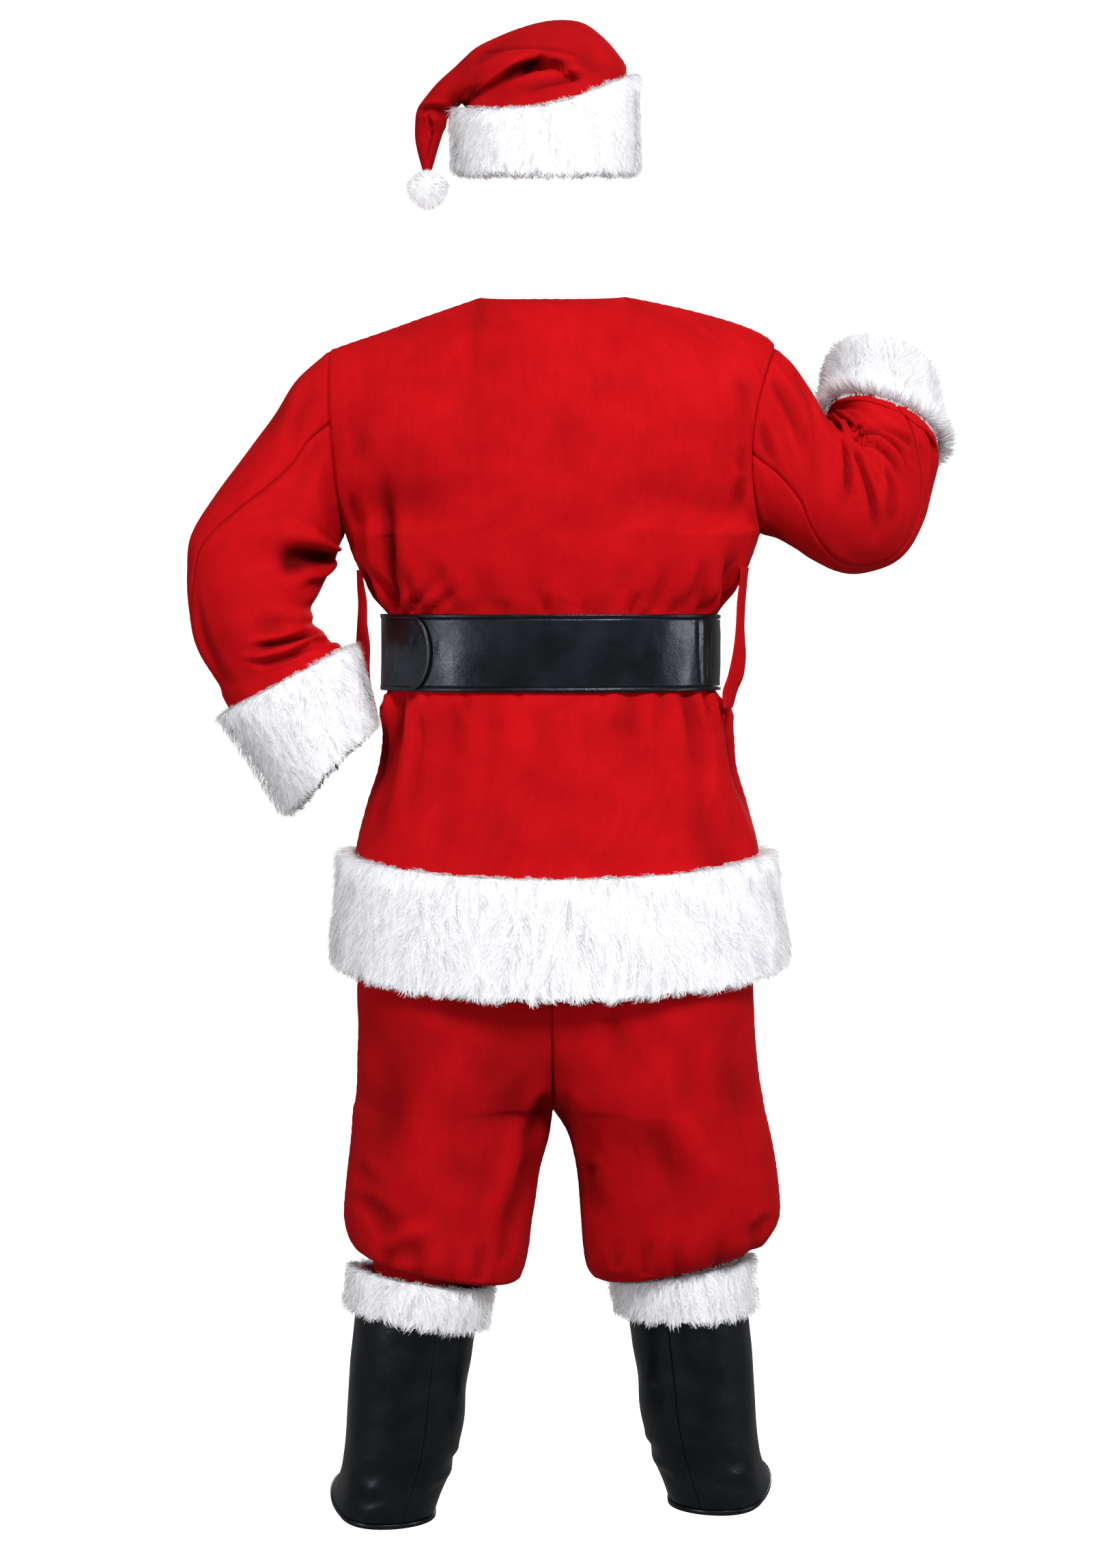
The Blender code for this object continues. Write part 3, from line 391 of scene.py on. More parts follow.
def mesh_object(name: str, points: Array, faces: list[Array], uv: Array, finish: Finish,
                *nodes: str) -> bpy.types.Object:
    """Smooth-shaded object from arrays, riding on the suit.

    Args:
        name: The piece's name.
        points: Its points in millimetres, n x 3.
        faces: Index arrays, one for each number of corners.
        uv: Its UV in metres, a pair for each point.
        finish: Its material.
        nodes: The frame's nodes that it replaces.

    Returns:
        The linked object.
    """
    corners = np.concatenate([part.ravel() for part in faces]).astype(np.int32)
    sizes = np.concatenate([np.full(len(part), part.shape[1]) for part in faces])
    mesh = bpy.data.meshes.new(name)
    mesh.vertices.add(len(points))
    mesh.vertices.foreach_set("co", (points * MM).astype(np.float32).ravel())
    mesh.loops.add(len(corners))
    mesh.loops.foreach_set("vertex_index", corners)
    mesh.polygons.add(len(sizes))
    mesh.polygons.foreach_set("loop_start", (np.cumsum(sizes) - sizes).astype(np.int32))
    mesh.update(calc_edges=True)
    layer = mesh.uv_layers.new(name="cut")
    layer.data.foreach_set("uv", uv[corners].astype(np.float32).ravel())
    mesh.shade_smooth()
    mesh.materials.append(finish)
    piece = new_object(name, mesh)
    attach(piece, BODY)
    if nodes:
        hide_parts(*nodes)
    LOG.info("%s: %d triangles", name, int(np.sum(sizes - 2)))
    return piece


def grid_faces(rows: int, columns: int, loop_rows: bool = False, loop_columns: bool = False) -> Array:
    """Four-sided faces of a grid of points, joined to its start along rows or columns where asked."""
    i = np.arange(rows if loop_rows else rows - 1)[:, None]
    j = np.arange(columns if loop_columns else columns - 1)[None, :]
    below, beside = (i + 1) % rows, (j + 1) % columns
    corners = [i * columns + j, i * columns + beside, below * columns + beside, below * columns + j]
    return np.stack(np.broadcast_arrays(*corners), axis=-1).reshape(-1, 4)


def circle(count: int) -> Array:
    """Angles of a full turn in equal steps."""
    return np.linspace(0, 2 * math.pi, count, endpoint=False)


def facing(points: Array, faces: Array, outwards: Array) -> Array:
    """Faces turned, all together, so that they look along the given outward vectors."""
    a, b, d = (points[faces[:, i]] for i in (0, 1, 3))
    look = np.sum(np.cross(b - a, d - a) * outwards[faces[:, 0]])
    return faces if look > 0 else faces[:, ::-1]


def shared_normals(grids: list[Array], cores: list[Array]) -> list[Array]:
    """Unit normals of several grids, away from their cores and the same wherever grids share a point.

    At each point it is the sum of the area vectors of all the grid cells that meet there.

    Args:
        grids: The surfaces, rows x columns x 3.
        cores: For each one, points inside it that broadcast with it.

    Returns:
        The normals of each grid.
    """
    flat = np.concatenate([grid.reshape(-1, 3) for grid in grids])
    same = np.unique(np.round(flat, 2), axis=0, return_inverse=True)[1].reshape(-1)
    total = np.zeros((same.max() + 1, 3))
    numbers, first = [], 0
    for grid, core in zip(grids, cores):
        rows, columns = grid.shape[:2]
        number = same[first:first + rows * columns].reshape(rows, columns)
        first += rows * columns
        cell = np.cross(grid[1:, 1:] - grid[:-1, :-1], grid[1:, :-1] - grid[:-1, 1:])
        cell = cell * np.sign(np.sum(cell * (grid - core)[:-1, :-1]))
        for i, j in ((0, 0), (0, 1), (1, 0), (1, 1)):
            np.add.at(total, number[i:rows - 1 + i, j:columns - 1 + j], cell)
        numbers.append(number)
    normals = unit(total)
    return [normals[number] for number in numbers]


def lengths(points: Array, axis: int) -> Array:
    """Distance of each grid point from the first one along an axis of the grid."""
    steps = np.linalg.norm(np.diff(points, axis=axis), axis=-1)
    start = np.zeros_like(np.take(steps, [0], axis=axis))
    return np.concatenate([start, np.cumsum(steps, axis=axis)], axis=axis)


def cut_uv(points: Array) -> Array:
    """UV of a grid in metres, by its lengths across and along as it is cut."""
    return np.stack([lengths(points, 1), lengths(points, 0)], axis=-1).reshape(-1, 2) * MM


def read_along(places: Array, run: Array, values: Array) -> Array:
    """Rows of values, which belong to the distances in run, read at other distances."""
    return np.stack([np.interp(places, run, column) for column in values.T], axis=-1)


def swept(path: Array, first: Array, second: Array, section: Array) -> Array:
    """A section carried along a path, its two columns measured along two sets of vectors."""
    return path[:, None] + first[..., None, :] * section[..., :1] + second[..., None, :] * section[..., 1:]


# ---------------------------------------------------------------- creases

CREASE = "u0 v0 u1 v1 bend width depth head tail"


def crease_depth(u: Array, v: Array, rows: Table) -> Array:
    """Height of the cloth over its form where creases run through it.

    Each crease is a bent line from (u0, v0) to (u1, v1). Across it the height is depth times a bell with
    a low shoulder on either side; it widens along its length, and fades in over the share head of its
    length and out over the share tail. A negative depth is a trough, a positive one a ridge.

    Args:
        u: First coordinate of each point, in millimetres.
        v: Second coordinate.
        rows: Table of creases with the columns named in CREASE.

    Returns:
        Heights in millimetres.
    """
    total = np.zeros(np.broadcast(u, v).shape)
    for u0, v0, u1, v1, bend, width, depth, head, tail in zip(*(rows[name] for name in CREASE.split())):
        length = math.hypot(u1 - u0, v1 - v0)
        cu, cv = (u1 - u0) / length, (v1 - v0) / length
        t = ((u - u0) * cu + (v - v0) * cv) / length
        inside = np.clip(t, 0, 1)
        aside = (v - v0) * cu - (u - u0) * cv - bend * 4 * inside * (1 - inside)
        q = np.hypot(aside, (t - inside) * length) / (width * (0.7 + 0.6 * inside))
        fade = ease((inside + 0.02) / (head + 0.02)) * ease((1 - inside + 0.02) / (tail + 0.02))
        total += depth * fade * (np.exp(-q**2) - 0.35 * np.exp(-((q - 1.9) / 0.8) ** 2))
    return total


def unevenness(u: Array, v: Array, height: float, length: float, seed: int) -> Array:
    """Slow swells in a cloth: twelve sine waves in seeded directions, about one wave length apart."""
    chance = np.random.default_rng(seed)
    total = np.zeros(np.broadcast(u, v).shape)
    for _ in range(12):
        angle, phase = chance.uniform(0, 2 * math.pi, 2)
        wave = length * chance.uniform(0.6, 1.8)
        total += np.sin(2 * math.pi * (u * math.cos(angle) + v * math.sin(angle)) / wave + phase)
    return total * height / 4


@dataclass(frozen=True)
class Cloth:
    """How a cloth lies: its thickness, its slow swells, and how deep its seams sink and pucker."""

    wall: float = 1.6
    swell: float = 0.8
    swell_length: float = 85.0
    seam_depth: float = 1.5
    seam_width: float = 2.6
    pucker: float = 0.45
    pucker_length: float = 13.0
    pucker_reach: float = 11.0


VELVET = Cloth()
HAT_VELVET = Cloth(wall=1.4, swell=0.6, swell_length=50.0, seam_depth=1.0, pucker=0.35, pucker_length=9.0)
LEATHER = Cloth(wall=1.4, swell=0.5, swell_length=75.0, seam_depth=0.9, seam_width=1.8, pucker=0.15,
                pucker_length=10.0, pucker_reach=7.0)


@dataclass
class Panel:
    """One cut piece of cloth on the form of its solid.

    The outer face is the form's grid moved along its normals by the creases, the swells and the dips at
    its seams; the wall goes inwards from it. Creases calm down near a seam. Its finish carries painted
    shade: darker where a crease sinks the cloth, and darker as a whole by a set share of that shade.
    """

    name: str
    node: str
    grid: Array
    core: Array
    places: tuple[Array, Array]
    folds: Table
    cloth: Cloth
    seams: tuple[str, ...] = ()
    held: str = "hung"
    seed: int = 1
    ceiling: Array | float = 9.0
    # painted shade of the whole piece, as a share of the darkest; deepest is the crease depth in mm that is
    # painted darkest
    dull: float = 0.0
    deepest: float = 12.0
    calm_width: float = 18.0
    calm_share: float = 0.88
    full_share: float = 0.31

    def edges(self) -> dict[str, tuple[Array, Array]]:
        """For each edge of the grid, how far each point is from it and how far along it."""
        across, along = lengths(self.grid, 1), lengths(self.grid, 0)
        return {
            "first column": (across, along), "last column": (across[:, -1:] - across, along),
            "first row": (along, across), "last row": (along[-1:] - along, across)}

    def heights(self) -> Array:
        """Height of the cloth over its form at each grid point."""
        cloth = self.cloth
        u, v = self.places
        height = crease_depth(u, v, self.folds)
        height = height + unevenness(u, v, cloth.swell, cloth.swell_length, self.seed)
        edges = self.edges()
        calm = np.ones(self.grid.shape[:2])
        for seam in self.seams:
            calm = calm * (1 - self.calm_share + self.calm_share * ease(edges[seam][0] / self.calm_width))
        height = height * calm
        for seam in self.seams:
            away, beside = edges[seam]
            height = height - cloth.seam_depth * np.exp(-(away / cloth.seam_width) ** 2)
            ripple = np.sin(2 * math.pi * beside / cloth.pucker_length + 0.9 * np.sin(beside / 31))
            height = height + cloth.pucker * ripple * np.exp(-away / cloth.pucker_reach) * ease(away / 2)
        return np.minimum(height, self.ceiling)

    def dress(self, finish: Finish, normal: Array) -> None:
        """Make the piece, with its UV laid out by its cut, and let it stand for its node.

        Args:
            finish: Its material.
            normal: Unit normals of its form.
        """
        height = self.heights()
        points = self.grid + normal * height[..., None]
        rows, columns = points.shape[:2]
        flat = points.reshape(-1, 3)
        faces = facing(flat, grid_faces(rows, columns), normal.reshape(-1, 3))
        piece = mesh_object(self.name, flat, [faces], cut_uv(self.grid), finish, self.node)
        # painted shade: how much darker the velvet is here, from the crease depth and the whole piece's share
        sunk = piece.data.attributes.new("sunk", "FLOAT", "POINT")
        depth = np.clip(self.dull - height / self.deepest, 0, 1)
        sunk.data.foreach_set("value", depth.astype(np.float32).ravel())
        wall = piece.modifiers.new("wall", "SOLIDIFY")
        wall.thickness = self.cloth.wall * MM
        wall.offset = -1


def dress_together(panels: list[Panel], finish: Finish) -> None:
    """Dress panels that are sewn to one another, so that they meet along their seams."""
    normals = shared_normals([panel.grid for panel in panels], [panel.core for panel in panels])
    for panel, normal in zip(panels, normals):
        panel.dress(finish, normal)


# ---------------------------------------------------------------- fur

@dataclass(frozen=True)
class Pile:
    """Long pile: how high it stands, how thick it grows and how it falls into tufts.

    A blade swings aside with its tuft, with a slow drift of the whole ground and on its own. A few
    blades are wild: they stand straighter and are drawn to no tuft.
    """

    height: float
    per_cm2: float = 26.0
    blade: float = 1.3
    tuft: float = 12.0
    tuft_shift: float = 0.35
    gather: float = 0.15
    fall: float = 0.35
    hang: float = 13.0
    lean: float = 0.85
    tuft_swing: float = 0.30
    drift_swing: float = 0.70
    own_swing: float = 0.26
    drift_length: float = 55.0
    streak_length: float = 6.0
    ragged_length: float = 19.0
    wild: float = 0.16
    off_seam: float = 1.6


WHOLE = {"pile": (0.0, 1.0)}
SECTION = table("along out", [
    (0.03, 0.0), (-0.012, 0.30), (0.0, 0.72), (0.10, 0.96), (0.35, 1.0), (0.70, 1.0), (0.94, 0.92),
    (1.012, 0.62), (1.012, 0.25), (0.975, 0.0)])


@dataclass
class FurBand:
    """A ring of fur sewn round an edge.

    Its ground is a surface of two parameters, a in turns round the ring and v from the top of the band
    (0) to its foot (1). The backing is the section above carried round the ring; blades are rooted in
    the backing's outer side and fall towards the foot. Where the ring has a seam, none are rooted in it.
    """

    name: str
    node: str
    ground: Surface
    columns: int
    pile: Pile
    gap: float = 0.9
    backing: float = 0.55
    seam: float | None = None

    def skin(self, a: Array, w: Array) -> Array:
        """Backing's outer side: w from its top edge on the cloth (0) to its bottom edge (1)."""
        numbers = np.linspace(0, 1, len(SECTION["along"]))
        v = smooth(w, numbers, SECTION["along"])
        out = smooth(w, numbers, SECTION["out"]) * self.pile.height * self.backing
        return self.ground(a, v) + self.ground_normal(a, v) * (self.gap + np.maximum(out, 0))[..., None]

    def ground_normal(self, a: Array, v: Array, step: float = 2e-3) -> Array:
        """Unit normals of the ground, away from the middle of the ring."""
        across = self.ground(a + step, v) - self.ground(a - step, v)
        along = self.ground(a, v + step) - self.ground(a, v - step)
        opposite = self.ground(a, v) - self.ground(a + 0.5, v)
        normal = unit(np.cross(across, along))
        return normal * np.sign(np.sum(normal * opposite, axis=-1, keepdims=True))

    def frame_at(self, a: Array, w: Array, step: float = 2e-3) -> tuple[Array, Array, Array]:
        """Point, unit normal and unit direction towards the foot of the skin at (a, w)."""
        down = self.skin(a, w + step) - self.skin(a, w - step)
        across = self.skin(a + step, w) - self.skin(a - step, w)
        normal = unit(np.cross(across, down))
        middle, half_way = self.ground_normal(a, np.full_like(a, 0.5)), np.abs(w - 0.5) < 0.2
        sign = np.sign(np.sum(normal[half_way] * middle[half_way]))
        return self.skin(a, w), normal * (sign if sign else 1.0), unit(down)

    def make(self, wardrobe: Wardrobe, parts: dict[str, tuple[float, float]], seed: int) -> None:
        """Make the backing and the pile over it.

        Args:
            wardrobe: The finishes.
            parts: The pile's parts, each with its start and end in turns.
            seed: Seed of the first part; each further one has the next number.
        """
        self.make_backing(wardrobe)
        for number, (part, turns) in enumerate(parts.items()):
            self.make_pile(wardrobe, part, turns, seed + number)

    def make_backing(self, wardrobe: Wardrobe) -> None:
        """The tufted ground: the section's outer side and its sewn side, carried round."""
        a = (np.arange(self.columns) / self.columns)[:, None]
        outer = self.skin(a, np.linspace(0, 1, 19)[None, :])
        v = np.linspace(0.92, 0.08, 4)[None, :]
        inner = self.ground(a, v) + self.ground_normal(a, v) * self.gap
        points = np.concatenate([outer, inner], axis=1)
        rows, columns = points.shape[:2]
        flat = points.reshape(-1, 3)
        outwards = (points - points.mean(axis=1, keepdims=True)).reshape(-1, 3)
        faces = facing(flat, grid_faces(rows, columns, True, True), outwards)
        uv = np.stack(np.broadcast_arrays(a * 10, np.linspace(0, 1, columns)), axis=-1).reshape(-1, 2)
        mesh_object(self.name, flat, [faces], uv, wardrobe.backing, self.node)

    def make_pile(self, wardrobe: Wardrobe, part: str, turns: tuple[float, float], seed: int) -> None:
        """Blades over part of the ring.

        Roots are spread evenly over the skin, one in each cell of a grid at a seeded place. A blade leans
        from the normal towards the foot, bends over, and its tip is drawn to the tip of its tuft.

        Args:
            wardrobe: The finishes.
            part: Name of this part of the ring.
            turns: Where it starts and ends, in turns.
            seed: Seed for the places and bends.
        """
        chance = np.random.default_rng(seed)
        pile = self.pile
        start, whole = turns[0], turns[1] - turns[0]
        probe = self.skin(*np.meshgrid(np.linspace(*turns, 40), np.linspace(0, 1, 24), indexing="ij"))
        wide, tall = lengths(probe, 0)[-1].mean(), lengths(probe, 1)[:, -1].mean()
        count = wide * tall / 100 * pile.per_cm2
        across = max(int(math.sqrt(count * wide / tall)), 2)
        down = max(int(count / across), 2)
        i, j = (n.ravel() for n in np.meshgrid(np.arange(across), np.arange(down), indexing="ij"))
        a = start + whole * (i + chance.uniform(0, 1, i.size)) / across
        w = 0.02 + 0.96 * (j + chance.uniform(0, 1, j.size)) / down
        root, normal, fall = self.frame_at(a, w)
        if self.seam is not None:
            keep = np.abs((a - self.seam + 0.5) % 1 - 0.5) * wide / whole > pile.off_seam
            a, w, root, normal, fall = a[keep], w[keep], root[keep], normal[keep], fall[keep]
        aside = unit(np.cross(fall, normal))

        cells_a, cells_w = max(int(wide / pile.tuft), 1), max(int(tall / (1.2 * pile.tuft)), 1)
        bent_a = a + 0.25 / cells_a * whole * np.sin(9 * w + 40 * a)
        ca = np.clip(((bent_a - start) / whole * cells_a).astype(int), 0, cells_a - 1)
        cw = np.clip((w * cells_w + 0.3 * np.sin(50 * a)).astype(int), 0, cells_w - 1)
        mine = chance.uniform(-1, 1, (cells_a, cells_w, 4))[ca, cw]
        tuft_root, tuft_normal, tuft_fall = self.frame_at(
            start + whole * (ca + 0.5 + pile.tuft_shift * mine[:, 0]) / cells_a,
            (cw + 0.55 + pile.tuft_shift * mine[:, 1]) / cells_w)
        tuft_aside = unit(np.cross(tuft_fall, tuft_normal))

        def own() -> Array:
            """A number from -1 to 1 for each blade."""
            return chance.uniform(-1, 1, a.size)

        beside, below = a * wide / whole, w * tall
        drift = unevenness(beside, below, 1.0, pile.drift_length, seed)
        streak = unevenness(beside, below / 5, 1.0, pile.streak_length, seed)
        # painted shade between tufts: greyer streaks, mixed with each blade's own random tone
        shade = np.clip(0.45 + 0.40 * streak + 0.25 * own(), 0, 1)
        length = 1.2 * pile.height * (0.92 + 0.16 * mine[:, 3] + 0.26 * own())[:, None]
        wild = (chance.uniform(0, 1, a.size) < pile.wild)[:, None]
        length = np.where(wild, 0.95, 1.0) * length
        lean = np.where(wild, 0.35, 1.0) * (pile.lean + 0.22 * own())[:, None]
        swing = (pile.tuft_swing * mine[:, 2] + pile.drift_swing * drift + pile.own_swing * own())[:, None]
        gravity = -pile.fall * UP
        middle = root + 0.5 * length * unit(normal + lean * fall + swing * aside)
        tip = middle + 0.58 * length * unit(
            np.where(wild, 0.8, 0.38) * normal + 1.2 * fall + 1.3 * swing * aside + gravity)
        tuft_tip = tuft_root + length * unit(
            0.75 * tuft_normal + 1.0 * tuft_fall + 0.55 * mine[:, 2:3] * tuft_aside + gravity)
        tip = tip + np.where(wild, 0.0, pile.gather) * (tuft_tip - tip) * np.minimum(
            1, 0.9 * length / np.maximum(np.linalg.norm(tuft_tip - tip, axis=1, keepdims=True), 1e-6))
        middle = middle + 0.3 * pile.gather * (tip - root - 1.05 * (middle - root))
        ragged = 0.35 + 0.22 * unevenness(beside, 0 * beside, 1.0, pile.ragged_length, seed) + 0.45 * own()
        self.draw_back(a, (middle, tip), pile.hang * np.clip(ragged, 0, 1)[:, None] ** 1.5)
        blades(self.name + "_" + part, root, middle, tip, normal, aside, pile.blade, chance, wardrobe.fur,
               shade)

    def draw_back(self, a: Array, ends: tuple[Array, ...], reach: Array) -> None:
        """Draw the blades' bends and tips back to the band where they stand out too far at its edges.

        Args:
            a: Place of each blade round the ring.
            ends: Its bend and its tip, changed in place.
            reach: How far they may hang past the foot; half as far past the top.
        """
        top, foot = self.ground(a, 0 * a), self.ground(a, 0 * a + 1)
        down = unit(foot - top)
        for place in ends:
            over = np.sum((top - place) * down, axis=1, keepdims=True)
            below = np.sum((place - foot) * down, axis=1, keepdims=True)
            place += down * (np.maximum(over - 0.5 * reach, 0) * 0.95 - np.maximum(below - reach, 0) * 0.92)


def blades(name: str, root: Array, middle: Array, tip: Array, normal: Array, aside: Array, width: float,
           chance: np.random.Generator, finish: Finish, shades: Array | None = None) -> None:
    """One joined mesh of bent blades, each a four-sided and a three-sided face.

    Args:
        name: The piece's name.
        root: Roots, n x 3, in millimetres.
        middle: Where each blade bends.
        tip: Its tip.
        normal: The skin's normal at each root.
        aside: A direction across each blade.
        width: Width of a blade at its root.
        chance: Seeded numbers for each blade's twist, and for its shade where none is given.
        finish: The fur.
        shades: Grey of each blade, from 0 (grey) to 1 (white): painted shade between tufts with each blade's
            own tone.
    """
    count = len(root)
    twist = chance.uniform(-0.6, 0.6, (count, 1))
    wide = unit(aside + twist * normal) * width / 2
    points = np.stack([root - wide, root + wide, middle + 0.8 * wide, middle - 0.8 * wide, tip], axis=1)
    first = 5 * np.arange(count)[:, None]
    quads, triangles = first + np.array([[0, 1, 2, 3]]), first + np.array([[3, 2, 4]])
    flat = points.reshape(-1, 3)
    look = np.sum(np.cross(2 * wide, middle - root) * normal)
    if look < 0:
        quads, triangles = quads[:, ::-1], triangles[:, ::-1]
    own_shade = chance.uniform(0, 1, count) if shades is None else shades
    shade = own_shade[:, None] * np.ones((1, 5))
    along = np.ones((count, 1)) * np.array([[0.0, 0.0, 0.5, 0.5, 1.0]])
    uv = np.stack([shade, along], axis=-1).reshape(-1, 2)
    piece = mesh_object(name, flat, [quads, triangles], uv, finish)
    own = unit(np.cross(wide, tip - root))
    own = own * np.sign(np.sum(own * normal, axis=1, keepdims=True))
    soft = np.repeat(unit(0.7 * normal + 0.45 * own), 5, axis=0)
    piece.data.normals_split_custom_set_from_vertices(soft.tolist())
    # the blades cast no shadows; painted shade at the roots and between tufts stands in for them
    piece.visible_shadow = False


# ---------------------------------------------------------------- sewing

def stitches(name: str, path: Array, out: Array, finish: Finish,
             pitch: float = 4.2, length: float = 3.0, thread: float = 0.6) -> None:
    """A row of stitches along a path: each is a bead of thread with two low ends and four raised sides.

    Args:
        name: The piece's name.
        path: Points along the seam, n x 3, in millimetres.
        out: Unit normals of the cloth there.
        finish: The thread.
        pitch: From one stitch to the next.
        length: Length of the thread that shows.
        thread: Its thickness.
    """
    run = lengths(path, 0)
    places = np.arange(pitch / 2, run[-1], pitch)
    read = [read_along(places + shift, run, path) for shift in (-length / 2, 0, length / 2)]
    up = unit(read_along(places, run, out))
    along = unit(read[2] - read[0])
    side = np.cross(along, up) * thread / 2
    top, low = up * thread * 0.6, -up * thread * 0.2
    bead = np.stack([read[0] + low, read[1] - side, read[1] + top, read[1] + side, read[1] + low,
                     read[2] + low], axis=1)
    first = 6 * np.arange(len(places))[:, None, None]
    shape = np.array([[0, 1, 2], [0, 2, 3], [0, 3, 4], [0, 4, 1], [5, 2, 1], [5, 3, 2], [5, 4, 3], [5, 1, 4]])
    faces = (first + shape[None]).reshape(-1, 3)
    flat = bead.reshape(-1, 3)
    look = np.sum(np.cross(flat[faces[0, 1]] - flat[faces[0, 0]], flat[faces[0, 2]] - flat[faces[0, 0]])
                  * (flat[faces[0]].mean(axis=0) - bead[0].mean(axis=0)))
    mesh_object(name, flat, [faces if look > 0 else faces[:, ::-1]], np.zeros((len(flat), 2)), finish)


def ring_tube(name: str, sections: Array, finish: Finish, *nodes: str, closed: bool = True) -> None:
    """Closed tube through rows of section points; without closed, both ends are capped.

    Args:
        name: The piece's name.
        sections: Rows x section points x 3, in millimetres.
        finish: Its material.
        nodes: Nodes that it replaces.
        closed: Whether the last row joins the first.
    """
    rows, columns = sections.shape[:2]
    flat = sections.reshape(-1, 3)
    outwards = (sections - sections.mean(axis=1, keepdims=True)).reshape(-1, 3)
    faces = facing(flat, grid_faces(rows, columns, closed, True), outwards)
    parts = [faces]
    if not closed:
        caps = np.stack([np.arange(columns), np.arange(columns)[::-1] + (rows - 1) * columns])
        ahead = sections[0].mean(axis=0) - sections[1].mean(axis=0)
        look = np.sum(np.cross(flat[1] - flat[0], flat[2] - flat[1]) * ahead)
        parts.append(caps if look > 0 else caps[:, ::-1])
    mesh_object(name, flat, parts, cut_uv(sections), finish, *nodes)


# ---------------------------------------------------------------- jacket

@dataclass
class Jacket:
    """Back, two fronts, two-piece sleeves, fur hem and cuffs, and the belt carriers at the sides."""

    wardrobe: Wardrobe
    square: float = 2.3
    gathers: int = 12
    neck_z: float = 30.0
    neck_half: float = 0.33
    neck_column: float = 0.25
    shoulder_bow: float = 0.55
    hem_z: float = -690.0
    gathered_z: tuple[float, float] = (-470.0, -336.0)
    underarm_z: float = -259.0
    belt_z: float = -402.0
    belt_reach: float = 46.0
    fur_top: float = -648.0
    fur_depth: float = 128.0
    body_rows: ClassVar[Table] = table("z left right back front gather sag", [
        (-800, -251, 270, -176, 180, 0, 26), (-740, -247, 263, -170, 175, 0, 24),
        (-690, -243, 256, -165, 171, 0, 22), (-640, -239, 249, -160, 167, 0, 19),
        (-590, -227, 238, -152, 161, 2, 12), (-540, -212, 224, -145, 157, 4, 5),
        (-500, -207, 221, -139, 155, 7, 0), (-468, -210, 216, -132, 152, 8, 0),
        (-452, -201, 200, -120, 145, 0, 0), (-402, -200, 199, -118, 143, 0, 0),
        (-355, -201, 200, -120, 145, 0, 0), (-336, -219, 217, -131, 154, 9, 0),
        (-312, -231, 232, -136, 158, 7, 0), (-286, -243, 243, -137, 157, 2, 0),
        (-259, -252, 252, -136, 154, 0, 0)])
    armholes: ClassVar[dict[Side, dict[str, float]]] = {
        Side.LEFT: dict(under_x=-252, under_z=-259, tip_x=-271, tip_z=-36, half=74, bow=-3),
        Side.RIGHT: dict(under_x=252, under_z=-259, tip_x=271, tip_z=-33, half=74, bow=22)}
    yoke_rows: ClassVar[Table] = table("w back front", [
        (0.00, -136, 154), (0.21, -141, 148), (0.58, -134, 134), (0.89, -114, 112), (1.13, -88, 88),
        (1.285, -66, 66)])
    neck_drop: ClassVar[dict[Face, float]] = {Face.BACK: 8.0, Face.FRONT: 78.0}
    sleeves: ClassVar[dict[Side, Table]] = {
        Side.LEFT: table("tip_x tip_z under_x under_z y half rise turn crease", [
            (-271, -36, -252, -259, 0, 74, 0, 0, 0), (-311, -72, -259, -272, -6, 77, 0, 2, 0),
            (-338, -116, -263, -287, -14, 75, 0, 6, 0), (-367, -157, -270, -306, -22, 72, 0, 13, 0),
            (-408, -212, -279, -324, -32, 70, 0, 25, 0), (-435, -262, -286, -340, -40, 69, 0, 40, 0),
            (-439, -306, -290, -351, -45, 68, 0, 50, 1), (-438, -348, -288, -360, -46, 68, 0, 57, 0),
            (-432, -382, -284, -368, -46, 67, 0, 62, 4), (-417, -417, -276, -377, -46, 66, 0, 62, 0),
            (-400, -443, -265, -388, -45, 66, 0, 60, 3), (-386, -473, -251, -400, -45, 66, 0, 58, 0),
            (-311, -587, -224, -490, -45, 63, 0, 55, 0)]),
        Side.RIGHT: table("tip_x tip_z under_x under_z y half rise turn crease", [
            (271, -33, 252, -259, 0, 74, 0, 0, 0), (291, -50, 274, -264, 4, 77, 0, -8, 0),
            (306, -71, 295, -276, 8, 77, 2, -20, 0), (318, -91, 316, -290, 13, 76, 4, -38, 0),
            (329, -104, 346, -303, 20, 75, 8, -56, 3), (337, -112, 379, -306, 28, 74, 14, -66, 9),
            (342, -116, 414, -295, 37, 72, 20, -68, -3), (345, -117, 441, -273, 46, 70, 25, -62, 10),
            (347, -115, 459, -239, 56, 68, 29, -50, -3), (348, -111, 469, -201, 68, 66, 31, -30, 9),
            (346, -107, 476, -171, 78, 64, 32, -12, -2), (344, -104, 478, -150, 88, 62, 32, 0, 0),
            (363, -39, 470, -61, 180, 54, 28, 8, 0)])}
    back_seam: ClassVar[dict[Side, float]] = {Side.LEFT: 5 / 18, Side.RIGHT: 4 / 18}
    cuff_start: float = 11.0
    cuff_end: float = 12.0
    loop_rows: ClassVar[dict[Side, Table]] = {
        Side.LEFT: table("x z y turn", [
            (-233.9, -303, -30, 14), (-231.6, -321, -30, 18), (-229.5, -342, -28, 24),
            (-230.5, -368, -22, 30), (-229.8, -395, -14, 42), (-231, -424, -5, 44), (-228.5, -447, 3, 40),
            (-222.5, -463, 8, 28), (-216.4, -477, 10, 10), (-213.9, -491, 10, 2)]),
        Side.RIGHT: table("x z y turn", [
            (231, -300, -45, 26), (229.2, -318, -46, 22), (226.5, -341, -46, 22), (225.6, -368, -46, 24),
            (225.2, -390, -46, 32), (223.6, -409, -46, 40), (219.8, -431, -46, 48), (214, -447, -46, 46),
            (211.6, -459, -45, 36), (210.2, -469, -45, 26)])}
    loop_width: float = 26.0
